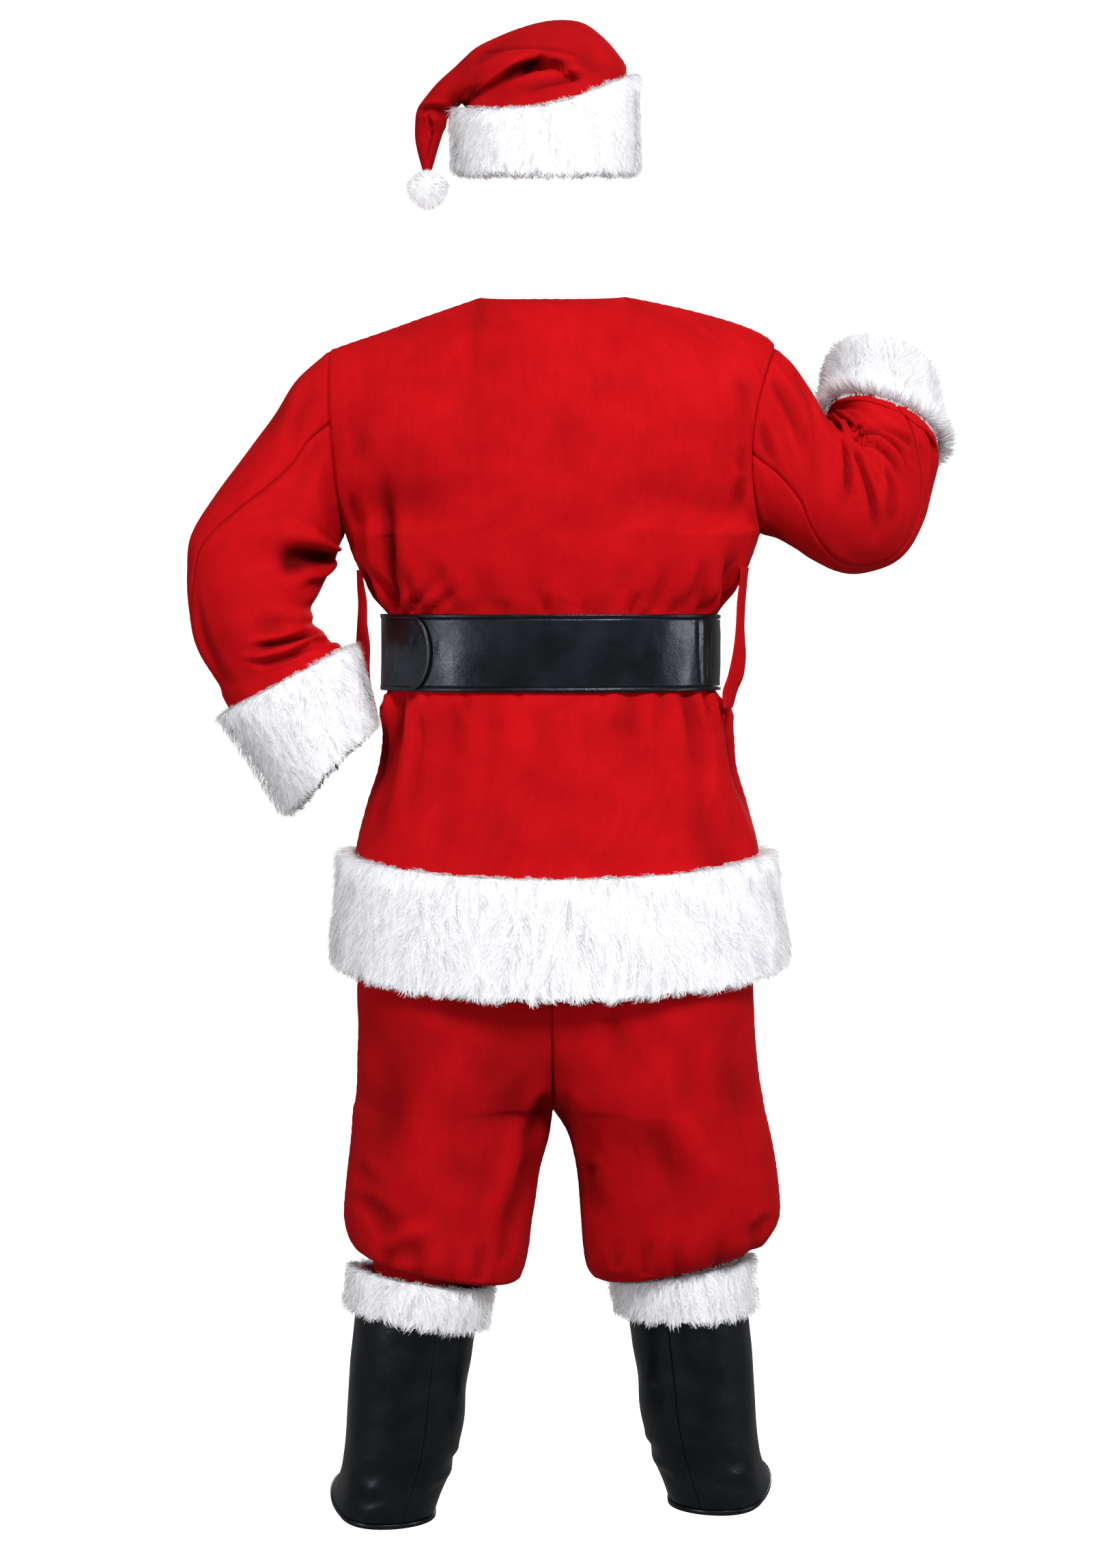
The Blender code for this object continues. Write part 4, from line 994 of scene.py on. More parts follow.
    # creases of the back and the fronts, placed by x and z as they are seen from behind or in front
    back_folds: ClassVar[Table] = table(CREASE, [
        (-188, -346, -199, -160, 5, 10, -11, 0, 0.5), (-207, -350, -217, -224, 3, 8, 6, 0, 0.6),
        (-201, -353, -226, -300, 3, 7, -6, 0, 0.6), (-178, -356, -118, -286, -6, 7, -7.5, 0, 0.75),
        (-168, -356, -136, -304, -4, 6, 5, 0, 0.7), (-152, -356, -108, -312, -5, 6, -6, 0, 0.75),
        (-184, -356, -182, -326, 1, 4, 4, 0, 0.6), (-190, -356, -190, -320, 0, 3, -4, 0, 0.6),
        (-168, -356, -162, -330, 1, 4, -4, 0, 0.6), (-134, -356, -112, -332, -2, 5, 3, 0, 0.7),
        (-96, -356, -86, -332, 0, 5, -2.5, 0, 0.7), (-58, -356, -54, -336, 0, 5, -2, 0, 0.7),
        (-8, -356, -10, -330, 0, 6, -3, 0, 0.7), (34, -356, 40, -334, 0, 5, -2.4, 0, 0.7),
        (91, -356, 105, -326, 2, 6, -5.5, 0, 0.6), (104, -356, 118, -334, 1, 5, 2.5, 0, 0.6),
        (142, -356, 150, -328, 0, 6, -3.5, 0, 0.7), (176, -356, 186, -318, 2, 7, -5, 0, 0.7),
        (208, -356, 216, -256, 3, 8, -6, 0, 0.5), (194, -356, 198, -266, -2, 10, 2.5, 0, 0.5),
        (231, -186, 225, -250, -5, 8, -5, 0.2, 0.6), (238, -200, 236, -250, 2, 8, 4, 0.2, 0.5),
        (209, -163, 229, -192, 3, 6, -3.5, 0.3, 0.3), (222, -152, 232, -188, 2, 5, -4.5, 0.3, 0.3),
        (219, -64, 239, -142, 5, 12, -5.5, 0.3, 0.5), (-236, -120, -232, -196, 3, 12, -3.5, 0.4, 0.5),
        (-242, -214, -226, -262, -3, 9, -5, 0.2, 0.6), (-120, -40, -70, -150, 10, 34, -3, 0.5, 0.7),
        (126, -40, 66, -150, -10, 36, -2, 0.5, 0.7), (-150, -230, 40, -262, 8, 40, 1.2, 0.5, 0.5),
        (150, -160, 96, -300, -8, 34, -1.8, 0.5, 0.6), (-203, -448, -214, -500, -4, 6, -6, 0, 0.7),
        (-192, -448, -196, -482, -2, 5, 4.5, 0, 0.7), (-182, -448, -186, -520, -3, 6, -6, 0, 0.7),
        (-170, -448, -214, -640, -10, 12, -6, 0, 0.6), (-150, -448, -148, -490, 0, 6, -3.5, 0, 0.8),
        (-104, -448, -100, -486, 0, 6, -2.5, 0, 0.8), (-40, -448, -44, -480, 0, 6, -2.2, 0, 0.8),
        (94, -448, 84, -545, -3, 15, -4.5, 0, 0.7), (60, -448, 62, -486, 0, 6, -2.5, 0, 0.8),
        (128, -448, 132, -500, 2, 7, -3.5, 0, 0.8), (160, -448, 172, -600, 6, 12, -6, 0, 0.7),
        (182, -448, 190, -520, 3, 6, -5.5, 0, 0.7), (192, -450, 200, -500, 3, 5, 4, 0, 0.7),
        (200, -452, 236, -650, 8, 10, -7, 0.1, 0.6), (160, -560, 200, -680, 6, 26, -4, 0.5, 0.2),
        (-60, -560, -90, -690, 6, 34, -3, 0.6, 0.1), (40, -600, 60, -690, 4, 26, -2.5, 0.6, 0.1)])
    front_folds: ClassVar[Table] = table(CREASE, [
        (-190, -348, -200, -176, 5, 12, -9, 0, 0.6), (-168, -356, -112, -280, -6, 8, -6, 0, 0.75),
        (-156, -356, -130, -306, -4, 6, 4, 0, 0.7), (-126, -356, -84, -316, -5, 6, -4.5, 0, 0.75),
        (-62, -356, -50, -322, 0, 5, -3, 0, 0.8), (52, -356, 64, -318, 0, 6, -3.5, 0, 0.8),
        (96, -356, 114, -300, -3, 7, -4.5, 0, 0.8), (142, -356, 168, -270, 6, 8, -6, 0, 0.7),
        (184, -354, 206, -250, 6, 12, -7.5, 0, 0.5), (230, -186, 220, -244, -5, 10, -8, 0.2, 0.6),
        (212, -160, 230, -190, 3, 7, -4.5, 0.3, 0.3), (-240, -214, -222, -270, -3, 9, -5, 0.2, 0.6),
        (-110, -60, -66, -170, 10, 30, -3, 0.5, 0.7), (112, -60, 62, -170, -10, 32, -3, 0.5, 0.7),
        (-180, -448, -206, -600, -8, 11, -6, 0, 0.7), (-142, -448, -146, -520, 0, 7, -4, 0, 0.8),
        (-92, -448, -92, -496, 0, 6, -2.8, 0, 0.8), (60, -448, 64, -500, 0, 6, -2.8, 0, 0.8),
        (118, -448, 128, -540, 3, 9, -4.5, 0, 0.8), (170, -448, 198, -630, 6, 12, -6.5, 0, 0.7),
        (-90, -560, -108, -690, 4, 32, -3, 0.6, 0.1), (84, -560, 100, -690, 4, 34, -3, 0.6, 0.1)])
    # creases of the sleeves, placed by the angle round the arm (degrees, 90 behind, 180 on top)
    # and the row along it, both in steps of about a millimetre: 1.25 a degree and 38 a row
    sleeve_folds: ClassVar[dict[Side, Table]] = {
        Side.LEFT: table(CREASE, [
            (8, 50, 120, 166, -6, 7, 7, 0.1, 0.4), (2, 74, 90, 172, -7, 13, -18, 0.05, 0.3),
            (14, 140, 66, 190, -4, 15, -6, 0.4, 0.6), (124, 335, 20, 330, -8, 9, -13, 0.25, 0.3),
            (138, 345, 34, 346, -15, 8, 7, 0.2, 0.4), (132, 368, 48, 364, -14, 9, -7, 0.2, 0.4),
            (58, 356, 12, 384, 3, 7, -5, 0.3, 0.4), (64, 250, 118, 352, 8, 20, -4, 0.4, 0.5),
            (100, 180, 150, 300, -10, 24, 3, 0.5, 0.5), (176, 240, 184, 400, 4, 9, -4, 0.3, 0.3),
            (196, 260, 206, 396, 4, 8, 3, 0.3, 0.3), (168, 10, 118, 88, -8, 18, -3.5, 0.2, 0.6),
            (120, 8, 118, 110, 4, 12, -3, 0, 0.7), (200, 20, 210, 190, 8, 22, -3, 0.3, 0.7),
            (92, 40, 66, 96, 6, 16, 3, 0.4, 0.5), (300, 100, 420, 118, -8, 13, -9, 0.5, 0.1),
            (310, 300, 440, 318, 12, 10, -7, 0.5, 0.1), (290, 350, 420, 330, 8, 10, -5, 0.5, 0.1),
            (270, 180, 330, 280, -10, 18, -4, 0.4, 0.5)]),
        Side.RIGHT: table(CREASE, [
            (168, 4, 108, 98, -3, 9, -6, 0.1, 0.5), (178, 14, 120, 112, -4, 8, 4, 0.2, 0.5),
            (126, 6, 80, 42, 0, 8, -5, 0.1, 0.5), (150, 6, 96, 60, -6, 8, -3.5, 0, 0.6),
            (200, 30, 132, 150, -8, 9, -4.5, 0.3, 0.5), (160, 250, 39, 353, -28, 6, -9, 0.1, 0.4),
            (152, 252, 42, 332, -36, 5, 5, 0.1, 0.4), (145, 240, 48, 302, -44, 6, -10, 0.05, 0.3),
            (142, 244, 56, 290, -40, 5, 5, 0.1, 0.4), (139, 246, 62, 276, -30, 5, -8, 0.05, 0.4),
            (136, 232, 60, 238, -18, 6, 4.5, 0.1, 0.4), (134, 222, 46, 202, -10, 7, -9.5, 0.05, 0.45),
            (144, 206, 66, 186, -6, 6, 5, 0.1, 0.5), (154, 199, 82, 167, -3, 6, -9, 0.05, 0.5),
            (158, 184, 96, 148, -3, 6, 4, 0.1, 0.5), (100, 279, 50, 228, 0, 8, -6.5, 0.2, 0.4),
            (74, 408, 12, 283, -26, 9, -6, 0.1, 0.4), (228, 196, 156, 214, 6, 7, -8, 0, 0.4),
            (230, 236, 158, 244, 4, 7, -8, 0, 0.4), (232, 276, 150, 262, -2, 7, -8, 0, 0.4),
            (236, 312, 140, 300, -6, 8, -7, 0, 0.5), (60, 150, 20, 230, 10, 16, -1.5, 0.3, 0.6),
            (240, 180, 330, 230, -12, 9, -5, 0, 0.7), (240, 226, 340, 262, -8, 8, -7, 0, 0.7),
            (240, 276, 330, 292, 4, 8, -6, 0, 0.7), (100, 320, 44, 372, 6, 12, -2.5, 0.3, 0.5)])}

    def body(self, face: Face, u: Array, z: Array) -> Array:
        """Jacket below the arms: each level is half of a rounded square, waved where the belt gathers it.

        Args:
            face: Back or front.
            u: From the left seam (-1) to the right one (1).
            z: Height.

        Returns:
            Points of the outer face.
        """
        row = by_height(self.body_rows, z)
        s = np.sin(math.pi / 2 * u)
        depth = -row["back"] if face is Face.BACK else row["front"]
        wave = 1 - row["gather"] / 200 * (1 - np.cos(self.gathers * math.pi * u)) / 2
        curve = np.clip(1 - np.abs(s) ** self.square, 0, 1) ** (1 / self.square)
        x = np.where(s < 0, -s * row["left"], s * row["right"]) * wave
        return stack(x, face.value * depth * curve * wave, z - row["sag"] * curve**2)

    def armhole(self, side: Side, t: Array, face: Face) -> tuple[Array, Array, Array]:
        """Seam of the armhole from underarm (0) to shoulder tip (1), a half ellipse that bows inwards."""
        hole = self.armholes[side]
        share, swell = (1 - np.cos(math.pi * t)) / 2, np.sin(math.pi * t)
        x = hole["under_x"] + (hole["tip_x"] - hole["under_x"]) * share - side.value * hole["bow"] * swell**2
        z = hole["under_z"] + (hole["tip_z"] - hole["under_z"]) * share
        return x, face.value * hole["half"] * swell, z

    def yoke(self, face: Face, u: Array, t: Array) -> Array:
        """Jacket above the arms: between the armholes, from the rounded body to shoulder seam and neckline.

        Args:
            face: Back or front.
            u: From the left armhole (-1) to the right one (1).
            t: From the underarm (0) to the shoulder seam (1).

        Returns:
            Points of the outer face.
        """
        low = np.sin(math.pi / 2 * u)
        high = np.sign(u) * np.interp(np.abs(u), [0, self.neck_column, 1], [0, self.neck_half, 1])
        s = low + (high - low) * t**2
        left_x, edge_y, left_z = self.armhole(Side.LEFT, t, face)
        right_x, _, right_z = self.armhole(Side.RIGHT, t, face)
        collar = np.sqrt(np.clip(1 - (s / self.neck_half) ** 2, 0, 1))
        slope = np.clip((1 - np.abs(s)) / (1 - self.neck_half), 0, 1)
        slope = slope ** np.where(s < 0, 1.0, self.shoulder_bow)
        tip = sum(hole["tip_z"] for hole in self.armholes.values()) / 2
        rise = (self.neck_z - tip) * slope - self.neck_drop[face] * collar * ease((t - 0.5) * 2)
        round_body = np.clip(1 - np.abs(s) ** self.square, 0, 1) ** (1 / self.square)
        start, top = ease(1 - t / 0.35), ease((t - 0.45) / 0.55)
        share = start * round_body + (1 - start) * ((1 - top) * (1 - np.abs(s) ** 2.6) + top * collar)
        height = np.where(t < 0.5, np.sin(math.pi / 2 * t) ** 2, 0.5 + (t - 0.5) * math.pi / 2)
        middle = smooth(height, self.yoke_rows["w"], self.yoke_rows[face.name.lower()])
        x = (left_x * (1 - s) + right_x * (1 + s)) / 2
        z = (left_z * (1 - s) + right_z * (1 + s)) / 2 + rise * t**1.6
        return stack(x, edge_y * (1 - share) ** (1 + 3 * start) + middle * share, z)

    def ring(self, q: Array, z: Array) -> Array:
        """Body at height z, once round: 0 middle of the front, 1/4 left seam, 1/2 back, 3/4 right."""
        q = np.mod(q, 1)
        front = self.body(Face.FRONT, np.where(q < 0.5, -4 * q, 4 * (1 - q)), z)
        back = self.body(Face.BACK, np.clip(4 * q - 2, -1, 1), z)
        return np.where(((q > 0.25) & (q < 0.75))[..., None], back, front)

    def sleeve(self, side: Side, a: Array, k: Array) -> Array:
        """Sleeve: an ellipse in each row, pinched by the creases on the inside of the elbow.

        Args:
            side: Which arm.
            a: Angle from its underarm line: a quarter turn on its back, half a turn on top.
            k: Row of the sleeve's table.

        Returns:
            Points of the outer face.
        """
        rows = self.sleeves[side]
        row = by_row(rows, k)
        inner = 0 if side is Side.LEFT else math.pi
        angle = a + np.radians(row["turn"])
        fold = 1 - row["crease"] / 75 * np.clip(np.cos(angle - inner), 0, 1) ** 2
        bow = -side.value * self.armholes[side]["bow"] * np.clip(1 - k / 2, 0, 1)
        along, across = np.cos(angle) * fold, np.sin(angle) * fold
        x, z = between(row, "tip_x", "under_x", along), between(row, "tip_z", "under_z", along)
        return stack(x + bow * across**2, row["y"] - row["half"] * across, z + row["rise"] * across)

    def torso(self, face: Face, u: Array) -> Array:
        """Grid of the body and the yoke above it over the columns u."""
        low, high = self.gathered_z
        z = np.concatenate([np.linspace(self.hem_z - 10, low, 44, endpoint=False),
                            np.linspace(low, high, 20, endpoint=False),
                            np.linspace(high, self.underarm_z, 18)])[:, None]
        t = self.turns()[5:, None]
        return np.concatenate([self.body(face, u[None, :], z), self.yoke(face, u[None, :], t)])

    @staticmethod
    def turns() -> Array:
        """Places up the armhole from underarm (0) to shoulder tip (1), with the sleeve seams (4/9, 5/9)."""
        return np.concatenate([crowded(0, 4 / 9, 21, 0.3), crowded(4 / 9, 5 / 9, 6, 0.0)[1:],
                               crowded(5 / 9, 1, 21, 0.3)[1:]])

    def panels(self) -> list[Panel]:
        """The torso's three cut pieces and the sleeves' four."""
        made = []
        seams = ("first column", "last column", "last row")
        left, right = crowded(-1, 0, 62, 0.5), crowded(0, 1, 62, 0.5)
        for name, face, u, folds in (
                ("jacket_back_cloth", Face.BACK, np.concatenate([left, right[1:]]), self.back_folds),
                ("jacket_front_left_cloth", Face.FRONT, left, self.front_folds),
                ("jacket_front_right_cloth", Face.FRONT, right, self.front_folds)):
            grid = self.torso(face, u)
            core = grid * UP
            away = np.abs(grid[..., 2] - self.belt_z) - self.belt_reach
            ceiling = np.where(grid[..., 2] < self.fur_top + 8, 0.5, 1.0 + 8.0 * ease(away / 12))
            made.append(Panel(name, name.removesuffix("_cloth"), grid, core, (grid[..., 0], grid[..., 2]),
                              folds, VELVET, seams, seed=3, ceiling=ceiling))
        t = self.turns()
        for side in Side:
            seam = 2 * self.back_seam[side]
            behind, above, below = t[t < seam + 1e-6], t[t > seam - 1e-6], t[t > 4 / 9 - 1e-6]
            angles = {"top": np.concatenate([above, 2 - below[-2::-1]]) * math.pi,
                      "under": np.concatenate([-t[t < 4 / 9 + 1e-6][::-1], behind[1:]]) * math.pi}
            k = np.concatenate([crowded(0, self.cuff_start, 88, 0.3), [self.cuff_start + 0.12]])[:, None]
            whole = self.sleeve(side, np.linspace(0, 2 * math.pi, 24)[None, :], k)
            core = whole[:, :-1].mean(axis=1, keepdims=True)
            for name, a in angles.items():
                grid = self.sleeve(side, a[None, :], k)
                turn = np.degrees(a[None, :]) + by_row(self.sleeves[side], k)["turn"]
                if name == "under":
                    turn = np.where(turn < -60, turn + 360, turn)
                places = (1.25 * turn, 38 * k + 0 * turn)
                node = f"sleeve_{side.word}_{name}"
                made.append(Panel(node + "_cloth", node, grid, core, places, self.sleeve_folds[side], VELVET,
                                  ("first row", "first column", "last column"), seed=11))
        return made

    def make_loop(self, side: Side) -> None:
        """Belt carrier: a folded strip carried down the side, its width turned towards the back."""
        rows = self.loop_rows[side]
        row = by_row(rows, np.linspace(0, len(rows["x"]) - 1, 70))
        turn = np.radians(row["turn"])
        wide = stack(side.value * np.sin(turn), np.cos(turn), 0 * turn) * self.loop_width / 2
        path = stack(row["x"], row["y"], row["z"])
        thick = unit(np.cross(wide, np.gradient(path, axis=0)))
        half = np.array((-1.0, -0.97, -0.6, 0.0, 0.6, 0.97, 1.0, 0.97, 0.6, 0.0, -0.6, -0.97))
        lift = np.array((0.0, 1.0, 1.3, 1.5, 1.3, 1.0, 0.0, -1.0, -1.3, -1.5, -1.3, -1.0))
        wave = 1.2 * np.sin(np.linspace(0, 17, 70) + side.value)[:, None]
        section = np.stack(np.broadcast_arrays(half, lift + wave * (half > 0) * 0.5), axis=-1)
        ring_tube(f"belt_carrier_{side.word}", swept(path, wide, thick, section), self.wardrobe.velvet,
                  f"belt_loop_{side.word}", closed=False)

    def make(self) -> None:
        """Make and dress the whole jacket."""
        dress_together(self.panels(), self.wardrobe.velvet)
        for side in Side:
            self.make_loop(side)
        hem = FurBand("jacket_hem_backing", "jacket_hem_fur",
                      lambda a, v: self.ring(a, self.fur_top - self.fur_depth * v), 160, Pile(height=19.0))
        hem.make(self.wardrobe, {"left_back": (0.25, 0.5), "right_back": (0.5, 0.75),
                                 "right_front": (0.75, 1.0), "left_front": (0.0, 0.25)}, seed=20)
        for side in Side:
            def ground(a: Array, v: Array, side: Side = side) -> Array:
                return self.sleeve(side, 2 * math.pi * a,
                                   self.cuff_start + (self.cuff_end - self.cuff_start) * v)

            FurBand(f"cuff_backing_{side.word}", f"cuff_fur_{side.word}", ground, 72, Pile(height=16.0)).make(
                self.wardrobe, WHOLE, seed=31 + side.value)


# ---------------------------------------------------------------- belt

@dataclass
class Belt:
    """Wide leatherette belt: wound once round the waist and on over itself to a round end.

    The strap runs by q, in turns round the waist from the middle of the front towards the left, and by
    its height over the middle line. Its second layer stands off the first.
    """

    wardrobe: Wardrobe
    square: float = 2.3
    ring: ClassVar[dict[str, float]] = dict(left=202.8, right=201.8, back=122.0, front=147.0)
    z: float = -402.0
    height: float = 92.0
    start: float = 0.012
    end: float = 1.382
    round_end: float = 0.030
    lap: float = 0.955
    lap_rise: float = 0.035
    steps: int = 330
    lift: float = 4.2
    leather: float = 2.0
    binding: float = 5.5
    turn_length: float = 1090.0
    eyelets: tuple[float, ...] = (1.296, 1.007)
    eyelet_radius: float = 3.0
    frame_halves: tuple[float, float, float] = (50.0, 61.0, 12.0)
    window_halves: tuple[float, float, float] = (39.0, 50.0, 6.0)
    # creases placed by the length along the strap and the height over its middle line
    folds: ClassVar[Table] = table(CREASE, [
        (731, -40, 727, 40, 2, 3, -1.5, 0.1, 0.1), (724, -40, 720, 40, 2, 3.5, 1.1, 0.1, 0.1),
        (742, -38, 744, 30, -2, 4, -0.9, 0.2, 0.3), (450, 27, 463, 22, 1, 2.2, -0.5, 0.3, 0.4),
        (464, 32, 478, 29, -1, 2.2, -0.5, 0.3, 0.4), (452, 13, 470, 17, 1, 2.4, -0.45, 0.3, 0.4),
        (430, -10, 436, 20, 2, 5, -0.5, 0.3, 0.3), (600, -36, 604, -8, 2, 5, -0.5, 0.2, 0.5),
        (640, 36, 636, 8, 2, 5, -0.4, 0.2, 0.5), (548, 36, 546, 18, 1, 4, -0.4, 0.2, 0.5),
        (330, -38, 322, 30, 3, 5, -1, 0.2, 0.3), (250, -36, 256, 36, 2, 4, -1.1, 0.2, 0.2),
        (820, -36, 812, 34, 3, 4, -1.1, 0.2, 0.2), (1444, -34, 1468, 16, 4, 5, -1.1, 0.3, 0.3),
        (1470, -4, 1480, 22, 2, 3, -0.6, 0.3, 0.4), (1404, -30, 1400, 34, 3, 5, -0.8, 0.3, 0.3)])

    def middle(self, q: Array, h: Array, off: Array | float = 0.0) -> Array:
        """Middle of the leather after q turns at height h, moved out by off: a rounded rectangle.

        Args:
            q: Turns from the middle of the front.
            h: Height over the middle line.
            off: Distance outwards from the middle of the leather.

        Returns:
            Points.
        """
        q, h, off = np.broadcast_arrays(q, h, off)
        return self.line(q, h) + self.outwards(q) * off[..., None]

    def line(self, q: Array, h: Array) -> Array:
        """Middle of the leather after q turns at height h."""
        turn = 2 * math.pi * q
        side, face = -np.sin(turn), np.cos(turn)
        lift = self.lift * ease((q - self.lap) / self.lap_rise) + self.leather / 2
        half = np.where(side < 0, self.ring["left"], self.ring["right"]) + lift
        depth = np.where(face < 0, self.ring["back"], self.ring["front"]) + lift
        power = 2 / self.square
        x = np.sign(side) * np.abs(side) ** power * half
        return stack(x, np.sign(face) * np.abs(face) ** power * depth, self.z + h)

    def outwards(self, q: Array) -> Array:
        """Unit normals, level and away from the waist."""
        along = self.line(q + 1e-3, 0 * q) - self.line(q - 1e-3, 0 * q)
        return unit(stack(-along[..., 1], along[..., 0], 0 * q))

    def columns(self, count: int) -> tuple[Array, Array]:
        """Places along the strap and the half height of the strap there, which closes at the round end."""
        body = np.linspace(self.start, self.end - self.round_end, count, endpoint=False)
        tip = self.end - self.round_end * (1 - np.sin(np.linspace(0, math.pi / 2, 26)))
        q = np.concatenate([body, tip])
        reach = np.clip((q - self.end + self.round_end) / self.round_end, 0, 1)
        return q, self.height / 2 * np.sqrt(np.clip(1 - reach**2, 0, 1))

    def make_strap(self) -> None:
        """The leather between the bindings, with small wrinkles and a slow unevenness."""
        q, edge = self.columns(self.steps)
        inner = np.maximum(edge - self.binding + 1.2, 0.5)
        h = inner[None, :] * np.linspace(-1, 1, 25)[:, None]
        grid = self.middle(q[None, :], h, self.leather / 2)
        core = self.middle(q[None, :], h, -30.0)
        panel = Panel("belt_leather", "belt_strap", grid, core, (self.turn_length * q[None, :] + 0 * h, h),
                      self.folds, LEATHER, held="laid", seed=41)
        dress_together([panel], self.wardrobe.leatherette)

    def make_binding(self) -> None:
        """Folded tape over both edges and round the end, and its two rows of stitches."""
        q, edge = self.columns(self.steps)
        q = np.concatenate([q[:-1], q[::-1]])
        edge = np.concatenate([edge[:-1], -edge[::-1]])
        share = np.maximum(np.abs(edge) - self.binding, 1.0) / np.maximum(np.abs(edge), 1e-6)
        rim = np.array([(0.0, 0.5), (0.10, 1.35), (0.45, 1.75), (0.85, 1.6), (1.0, 0.9), (1.0, -0.9),
                        (0.85, -1.4), (0.10, -1.35), (0, -0.5)])
        inside = self.line(self.drawn(q, self.binding), edge * share)
        past = 0.003 * (np.abs(edge) < self.height / 2 - 0.5)
        outside = self.line(np.minimum(q + past, self.end + 0.003), edge)
        out = self.outwards(q)
        ring_tube("belt_edge_tape", swept(inside, outside - inside, out, rim), self.wardrobe.leatherette,
                  "belt_binding", closed=False)
        seam = inside + 0.24 * (outside - inside) + out * 1.45
        stitches("belt_stitches", seam, out, self.wardrobe.thread)

    def drawn(self, q: Array, distance: float) -> Array:
        """Places drawn back from the round end by up to a distance."""
        reach = np.clip((q - self.end + self.round_end) / self.round_end, 0, 1)
        return q - distance / self.turn_length * reach

    def make_eyelets(self) -> None:
        """Brass eyelets: a rolled flange on the leather and the barrel that goes into it."""
        profile = np.array([(-0.6, -1.4), (-0.9, 0.2), (-0.5, 0.9), (0.1, 1.1), (0.75, 0.85), (0.95, 0.3),
                            (0.8, 0.1), (0, 0.1), (-0.3, -1.4)])
        turn = circle(48)[:, None]
        for number, q in enumerate(self.eyelets, start=1):
            seat = np.array([q])
            place, out = self.middle(seat, 0.0, self.leather / 2)[0], self.outwards(seat)[0]
            beside = np.cross(UP, out)
            radius = self.eyelet_radius + profile[None, :, :1]
            around = beside * np.cos(turn)[..., None] + UP * np.sin(turn)[..., None]
            sections = place + around * radius + out * profile[None, :, 1:]
            ring_tube(f"belt_eyelet_ring_{number}", sections, self.wardrobe.brass,
                      f"belt_eyelet_{number}")

    @staticmethod
    def rounded(half_x: float, half_z: float, radius: float, count: int = 160) -> Array:
        """Outline of a rectangle with round corners, by equal steps of its angle seen from the middle.

        Args:
            half_x: Half width.
            half_z: Half height.
            radius: Of the corners.
            count: Number of points.

        Returns:
            Pairs (x, z).
        """
        a = circle(4 * count)
        turn = np.stack([np.cos(a), np.sin(a)], axis=-1)
        path = np.sign(turn) * (half_x - radius, half_z - radius) + radius * turn
        path = np.concatenate([path, path[:1]])
        run = lengths(path, 0)
        return read_along(np.linspace(0, run[-1], count, endpoint=False), run, path)

    def make_buckle(self) -> None:
        """Frame of rounded bar round a window, the bar behind it and the prong across it."""
        front = self.ring["front"] + self.lift + self.leather
        outer, inner = self.rounded(*self.frame_halves), self.rounded(*self.window_halves)
        around = circle(20)
        across = 0.5 + 0.5 * np.sign(np.cos(around)) * np.abs(np.cos(around)) ** 0.7
        out = 2.2 * np.sign(np.sin(around)) * np.abs(np.sin(around)) ** 0.7
        flat = inner[:, None] + (outer - inner)[:, None] * across[None, :, None]
        sections = stack(flat[..., 0], front + 4.0 + out[None, :], self.z + flat[..., 1])
        ring_tube("buckle_frame", sections, self.wardrobe.brass, "belt_buckle_frame")
        rise = self.height / 2 + 3.0
        low = self.ring["front"] + 1.7
        bar = table("x y z", [(0, front + 1.0, rise), (0, front - 3.0, rise - 0.4), (0, low, rise - 2.0),
                              (0, low, 2.0 - rise), (0, front - 3.0, 0.4 - rise), (0, front + 1.0, -rise)])
        self.rod("buckle_bar", stack(bar["x"], bar["y"], self.z + bar["z"]), 1.5, "belt_buckle_bar")
        seat = self.line(np.array([self.eyelets[1]]), np.zeros(1))[0]
        prong = table("x y", [(seat[0], seat[1] + 3.5), (seat[0] - 4, front + 6), (seat[0] - 9, front + 8.7),
                              (-40, front + 8.9), (-49, front + 8.6)])
        self.rod("buckle_prong", stack(prong["x"], prong["y"], self.z), 1.7, "belt_buckle_prong")

    def rod(self, name: str, places: Array, radius: float, node: str) -> None:
        """Round wire through a few places, its corners eased and its ends domed."""
        run = lengths(places, 0)
        t = np.linspace(0, run[-1], 90)
        path = read_along(t, run, places)
        for _ in range(3):
            path[1:-1] = (path[:-2] + 2 * path[1:-1] + path[2:]) / 4
        along = unit(np.gradient(path, axis=0))
        first = unit(np.cross(along, (0.3, 0.1, 0.9) if abs(along[40, 2]) < 0.5 else (1.0, 0.0, 0.1)))
        second = np.cross(along, first)
        a = circle(20)[None, :, None]
        near = np.minimum(lengths(path, 0), lengths(path[::-1], 0)[::-1])
        thick = radius * np.sqrt(np.clip(1 - (1 - np.clip(near / radius, 0.02, 1)) ** 2, 0, 1))
        sections = first[:, None] * np.cos(a) + second[:, None] * np.sin(a)
        sections = path[:, None] + sections * thick[:, None, None]
        ring_tube(name, sections, self.wardrobe.brass, node, closed=False)

    def make(self) -> None:
        """Make and dress the belt and its buckle."""
        self.make_strap()
        self.make_binding()
        self.make_eyelets()
        self.make_buckle()


# ---------------------------------------------------------------- trousers

